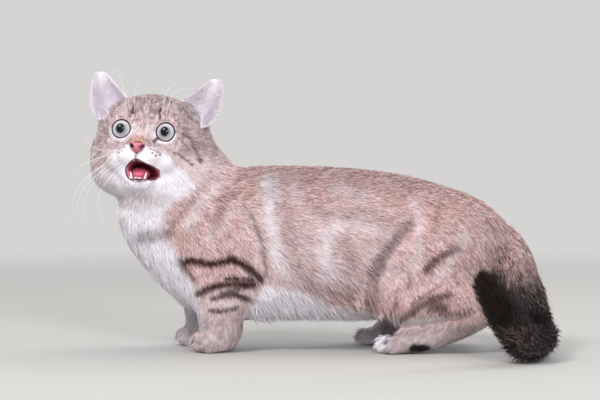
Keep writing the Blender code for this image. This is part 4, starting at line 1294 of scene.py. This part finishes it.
def make_lip(name, line, radii, material, ground):
    """One lip's bare edge, laid on the skin along its line, from the first radius to the last, and tapering
    to the corners of the mouth."""
    path = []
    for spot in through(line, 5):
        start = on_head(spot) * MM
        found = ground.find_nearest(start)[0]
        path.append((found if (found - start).length < 4 * MM else start) / MM)
    for _ in range(3):
        middle = [(a + b * 2 + c) / 4 for a, b, c in zip(path, path[1:], path[2:])]
        path = [path[0], *middle, path[-1]]
    ends = np.sin(np.linspace(0.25, math.pi - 0.25, len(path)))
    bm = bmesh.new()
    swept(bm, path, np.linspace(*radii, len(path)) * np.minimum(1, 0.3 + 1.4 * ends), 8)
    finished(name, bm, material)


def make_teeth(material):
    """Two lower canines that lean apart, and the row of small incisors between them."""
    bm = bmesh.new()
    for side in (-1, 1):
        low, high = (Vector((JAW_SWING + side * u, v, w)) for u, v, w in (CANINE_ROOT, CANINE_TIP))
        path = [on_head(low.lerp(high, t)) for t in (0, 0.3, 0.6, 0.85, 1)]
        swept(bm, path, (1.3, 1.2, 0.9, 0.48, 0.1), 10)
    for k in range(6):
        across = JAW_SWING + (k - 2.5) * INCISOR_SPACING
        path = [on_head((across, v, INCISOR_DEPTH)) for v in INCISOR_HEIGHTS]
        swept(bm, path, (0.5, 0.52, 0.3), 8)
    finished("teeth", bm, material)


def make_whiskers(name, lines, thick, material, ground):
    """Long tapering hairs along the given lines, from the skin out, each second one finer."""
    bm = bmesh.new()
    for k, line in enumerate(lines):
        root = ground.find_nearest(on_head(line[0]) * MM)[0] / MM
        path = through([root, *(on_head(spot) for spot in line[1:])], 5)
        radii = thick * (1 - 0.8 * np.linspace(0, 1, len(path))) * (1 - 0.15 * (k % 2))
        swept(bm, path, radii, 4)
    finished(name, bm, material)


def other_side(lines):
    """The same whiskers on the cat's left cheek, swept further back."""
    lean = ((0, 0), (0.25, 0.2), (0.5, 0.35), (0.8, 0.5), (1, 0.55))
    found = []
    for line in lines:
        sweep = table_at(np.linspace(0, 1, len(line)), lean) * FAR_SWEEP
        found.append([(-u, v * 0.92, w - far) for (u, v, w), far in zip(line, sweep)])
    return found


def make_claws(material):
    """The tips of the drawn-in claws, one in the front of each toe."""
    bm = bmesh.new()
    for side, toes in itertools.product((-1, 1), (FORE_TOES, HIND_TOES)):
        reach, spacing = toes[3:5]
        for place in (-1.5, -0.5, 0.5, 1.5):
            back = OUTER_TOES_BACK * (abs(place) > 1)
            line = [(reach + gone - back, place * spacing, up) for gone, up in CLAW_LINE]
            swept(bm, [MIDDLE + on_paw(toes, side, *spot) for spot in line], CLAW_RADII, 8)
    finished("claws", bm, material)


# The ears

def ear_side(points, normals):
    """How much each point of an ear faces forward, into its cup."""
    return rising(from_model(normals)[:, 2], -0.1, 0.3)


def make_ear(name, side, skin_material, fur, random):
    """A cupped ear: thin skin with short hair outside, and long pale hair across the cup."""
    obj = fused(copy_of_nodes(["ear_" + name], 0.0), EAR_GRID, 4)
    set_points(obj.data, points_of(obj.data) - EAR_DEPTH * normals_of(obj.data))
    mesh = unwrapped(renewed(obj, "ear_skin_" + name, skin_material)).data
    marks, warm = ear_marks(points_of(mesh), normals_of(mesh))
    store(mesh, "marks", marks)
    store(mesh, "hair", columns(0.6, 0.6, warm))
    store(mesh, "bare", np.zeros((len(warm), 3)))
    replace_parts(obj, "ear_" + name)
    ground = Ground(mesh)
    length = ear_lie(ground.middle, ground.normals[ground.verts[:, 0]])[1]
    density = density_for(EAR_COVER, length, EAR_FINENESS)
    lay_coat("ear_coat_" + name, ground, density, ear_lie, ear_marks, fur, random, EAR_FINENESS)


def ear_marks(points, normals):
    inside = ear_side(points, normals)
    # Pale band along the rim: a fringe of pale hair, and also a painted highlight where light grazes it.
    edge = 4 * inside * (1 - inside)
    back = (1 - inside) * 0.25 * rising(to_face(points)[:, 1], 30, 25)
    white = inside * (0.88 + 0.1 * drift(points, 3, 61)) + back
    dark = 0.12 * (1 - inside) * (drift(points, 5, 62) > 0)
    return columns(np.clip(most(white, edge), 0, 1), dark, 0), np.zeros(len(points))


def ear_lie(points, normals):
    """On the back hair runs up to the tip; in the cup it runs from the inner edge across and up."""
    face = to_face(points)
    side = np.sign(face[:, 0])
    inside = ear_side(points, normals)
    way = from_face(blend(columns(side * 0.6, 1, 0), columns(side, 0.35, 0.1), inside[:, None]))
    up = rising(face[:, 1], 10, 45)
    length = 2.6 - 1.0 * up + inside * (4.0 - 3.2 * up)
    return along_skin(way, normals), length, np.radians(10 + 4 * inside)


# Stage

def make_floor():
    bm = bmesh.new()
    bmesh.ops.create_grid(bm, x_segments=8, y_segments=8, size=FLOOR_HALF)
    mesh = bpy.data.meshes.new("floor")
    bm.to_mesh(mesh)
    bm.free()
    mesh.materials.append(fading_board())
    new_object("floor", mesh)


def fading_board():
    """Matt pale board that melts into the studio's haze, so that no horizon shows."""
    board = plain_finish("matt_studio_board", *BOARD, 900, 0.75)
    tree = board.node_tree
    begins, ends = FLOOR_FADE
    far = vector_node(tree, "LENGTH", own_place(tree))["Value"]
    reach = {"Value": far, "From Min": begins, "From Max": ends, "To Min": 1.0, "To Max": 0.0}
    left = add(tree, "MapRange", {"interpolation_type": "SMOOTHERSTEP"}, reach).outputs[0]
    tree.links.new(left, tree.nodes["Principled BSDF"].inputs["Alpha"])
    return board


def make_lights():
    for name, (place, size, power, height) in LIGHTS.items():
        light = bpy.data.lights.new(name, "AREA")
        light.shape = "DISK"
        light.size = size
        light.energy = power
        obj = new_object(name, light)
        obj.location = place
        aim = Vector((0, 0, height)) - Vector(place)
        obj.rotation_euler = aim.to_track_quat("-Z", "Y").to_euler()


def make_camera():
    """The photograph's view: level with the back, square to the body, a long lens 1.8 m off."""
    camera = bpy.data.cameras.new("camera")
    camera.sensor_width = SENSOR
    camera.lens = LENS
    obj = new_object("camera", camera)
    obj.location = (MIDDLE + CAMERA_PLACE) * MM
    obj.rotation_euler = (math.radians(90 - CAMERA_DIP), 0, 0)
    bpy.context.scene.camera = obj


def make_animal():
    skin_material = living_skin()
    skin = unwrapped(renewed(make_skin(), "skin", skin_material))
    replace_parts(skin, *FLESH)
    paint_skin(skin.data)
    random = np.random.default_rng(HAIR_SEED)
    lay_body_coat(Ground(skin.data), random)
    make_face(skin_material, skin.data, random)


def paint_skin(mesh):
    """Keeps the markings, the hair's tint and the bare parts at each point of the skin."""
    points, normals = points_of(mesh), normals_of(mesh)
    marks, warm = markings(points, normals)
    store(mesh, "marks", marks)
    tint = np.clip(0.5 + 0.2 * drift(points, 3, 50), 0, 1)
    store(mesh, "hair", columns(0.5, tint, warm))
    face = to_face(points)
    lids = falling(eye_distance(face), LID_EDGE + 0.6, 0.5) * (face[:, 2] > LIDS_BACK)
    # Painted shade: rosy fades upwards and deeper into the mouth, darkening the lining in its recess by the
    # palate.
    rosy = falling(face[:, 1], -27, 9) * rising(face[:, 2], -22, 14)
    store(mesh, "bare", columns(mouth_share(face, normals), rosy, most(lids, 0.85 * philtrum_share(face))))


def lay_body_coat(ground, random):
    """The plush coat of body, head and tail, and the longer hair under the belly and before the ears."""
    fur = plush_fur("agouti_cat_hair", *WHITE_HAIR)
    facing = unit(ground.normals[ground.verts].sum(axis=1))
    _, length, _ = lie_of(ground.middle, facing)
    density = density_for(COVER, length) * (1 - bare_share(ground.middle, facing))
    lay_coat("coat", ground, density, lie_of, markings, fur, random)
    density = FRINGE_DENSITY * fringe_share(ground.middle, facing)
    lay_coat("belly_fringe", ground, density, fringe_lie, markings, fur, random, hug=0.0)
    density = EAR_FOOT_DENSITY * ear_foot_share(ground.middle, facing)
    lay_coat("ear_foot", ground, density, ear_foot_lie, markings, fur, random, hug=0.3)


def make_face(skin_material, mesh, random):
    """Eyes, lids, ears, nose, mouth, whiskers and the claws of the paws."""
    tree = BVHTree.FromPolygons([v.co for v in mesh.vertices], [tuple(p.vertices) for p in mesh.polygons])
    ear_fur = plush_fur("ear_cup_hair", *EAR_HAIR)
    rim = wet_leather("bare_dark_lid_skin", "#0D0808", "#1F1513", 0.5, 0.4, 0.1)
    leather = wet_leather("pink_nose_leather", "#B5566A", "#D07F92", 0.45, 0.42, 0.12)
    dark_lip = wet_leather("bare_dark_lip_skin", "#40202A", "#6E3A48", 0.5, 0.35, 0.1)
    tongue_skin = wet_leather("wet_tongue", "#B84860", "#D66E84", 0.6, 0.3, 0.2)
    enamel = plain_finish("tooth_enamel", "#E4D2D2", "#F5EBEA", 2.0, 0.25, Coat_Weight=0.4)
    horn = plain_finish("claw_horn", "#BFA9A2", "#DCCBC4", 2.0, 0.35)
    bristle = plain_finish("whisker_keratin", "#EFEBEF", "#FBFAFB", 8.0, 0.4)
    for name, side in (("left", 1), ("right", -1)):
        make_eye(name, side)
        make_lids(name, side, rim)
        make_ear(name, side, skin_material, ear_fur, random)
    make_nose(leather)
    make_tongue(tongue_skin)
    make_lip("upper_lip", UPPER_LIP, LIP_RADII, dark_lip, tree)
    make_lip("lower_lip", LOWER_LIP, LIP_RADII[::-1], dark_lip, tree)
    make_teeth(enamel)
    make_whiskers("whiskers_right", CHEEK_WHISKERS, WHISKER_RADIUS, bristle, tree)
    make_whiskers("whiskers_left", other_side(CHEEK_WHISKERS), WHISKER_RADIUS, bristle, tree)
    make_whiskers("whiskers_brow", BROW_WHISKERS, BROW_RADIUS, bristle, tree)
    make_claws(horn)


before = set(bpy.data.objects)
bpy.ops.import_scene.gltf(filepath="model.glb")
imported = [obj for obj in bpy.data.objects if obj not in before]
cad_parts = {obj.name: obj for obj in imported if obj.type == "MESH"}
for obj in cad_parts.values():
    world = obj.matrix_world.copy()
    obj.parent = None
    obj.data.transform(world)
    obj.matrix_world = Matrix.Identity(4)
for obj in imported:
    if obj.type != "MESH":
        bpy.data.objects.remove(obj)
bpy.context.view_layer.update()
make_backdrop()
HEAD = head_matrix()
LIPS = np.vstack([through(UPPER_LIP, 3)[:-1], through(LOWER_LIP, 3)])
torso_low, torso_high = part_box("torso")
MIDDLE = np.array((torso_high.x / MM - TORSO_END, (torso_low.y + torso_high.y) / 2 / MM, 0))
RIGHT_LEGS_AHEAD = (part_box("forepaw_left")[0].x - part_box("forepaw_right")[0].x) / MM
TAIL = through(TAIL_LINE, 4)
make_animal()
make_floor()
make_lights()
make_camera()
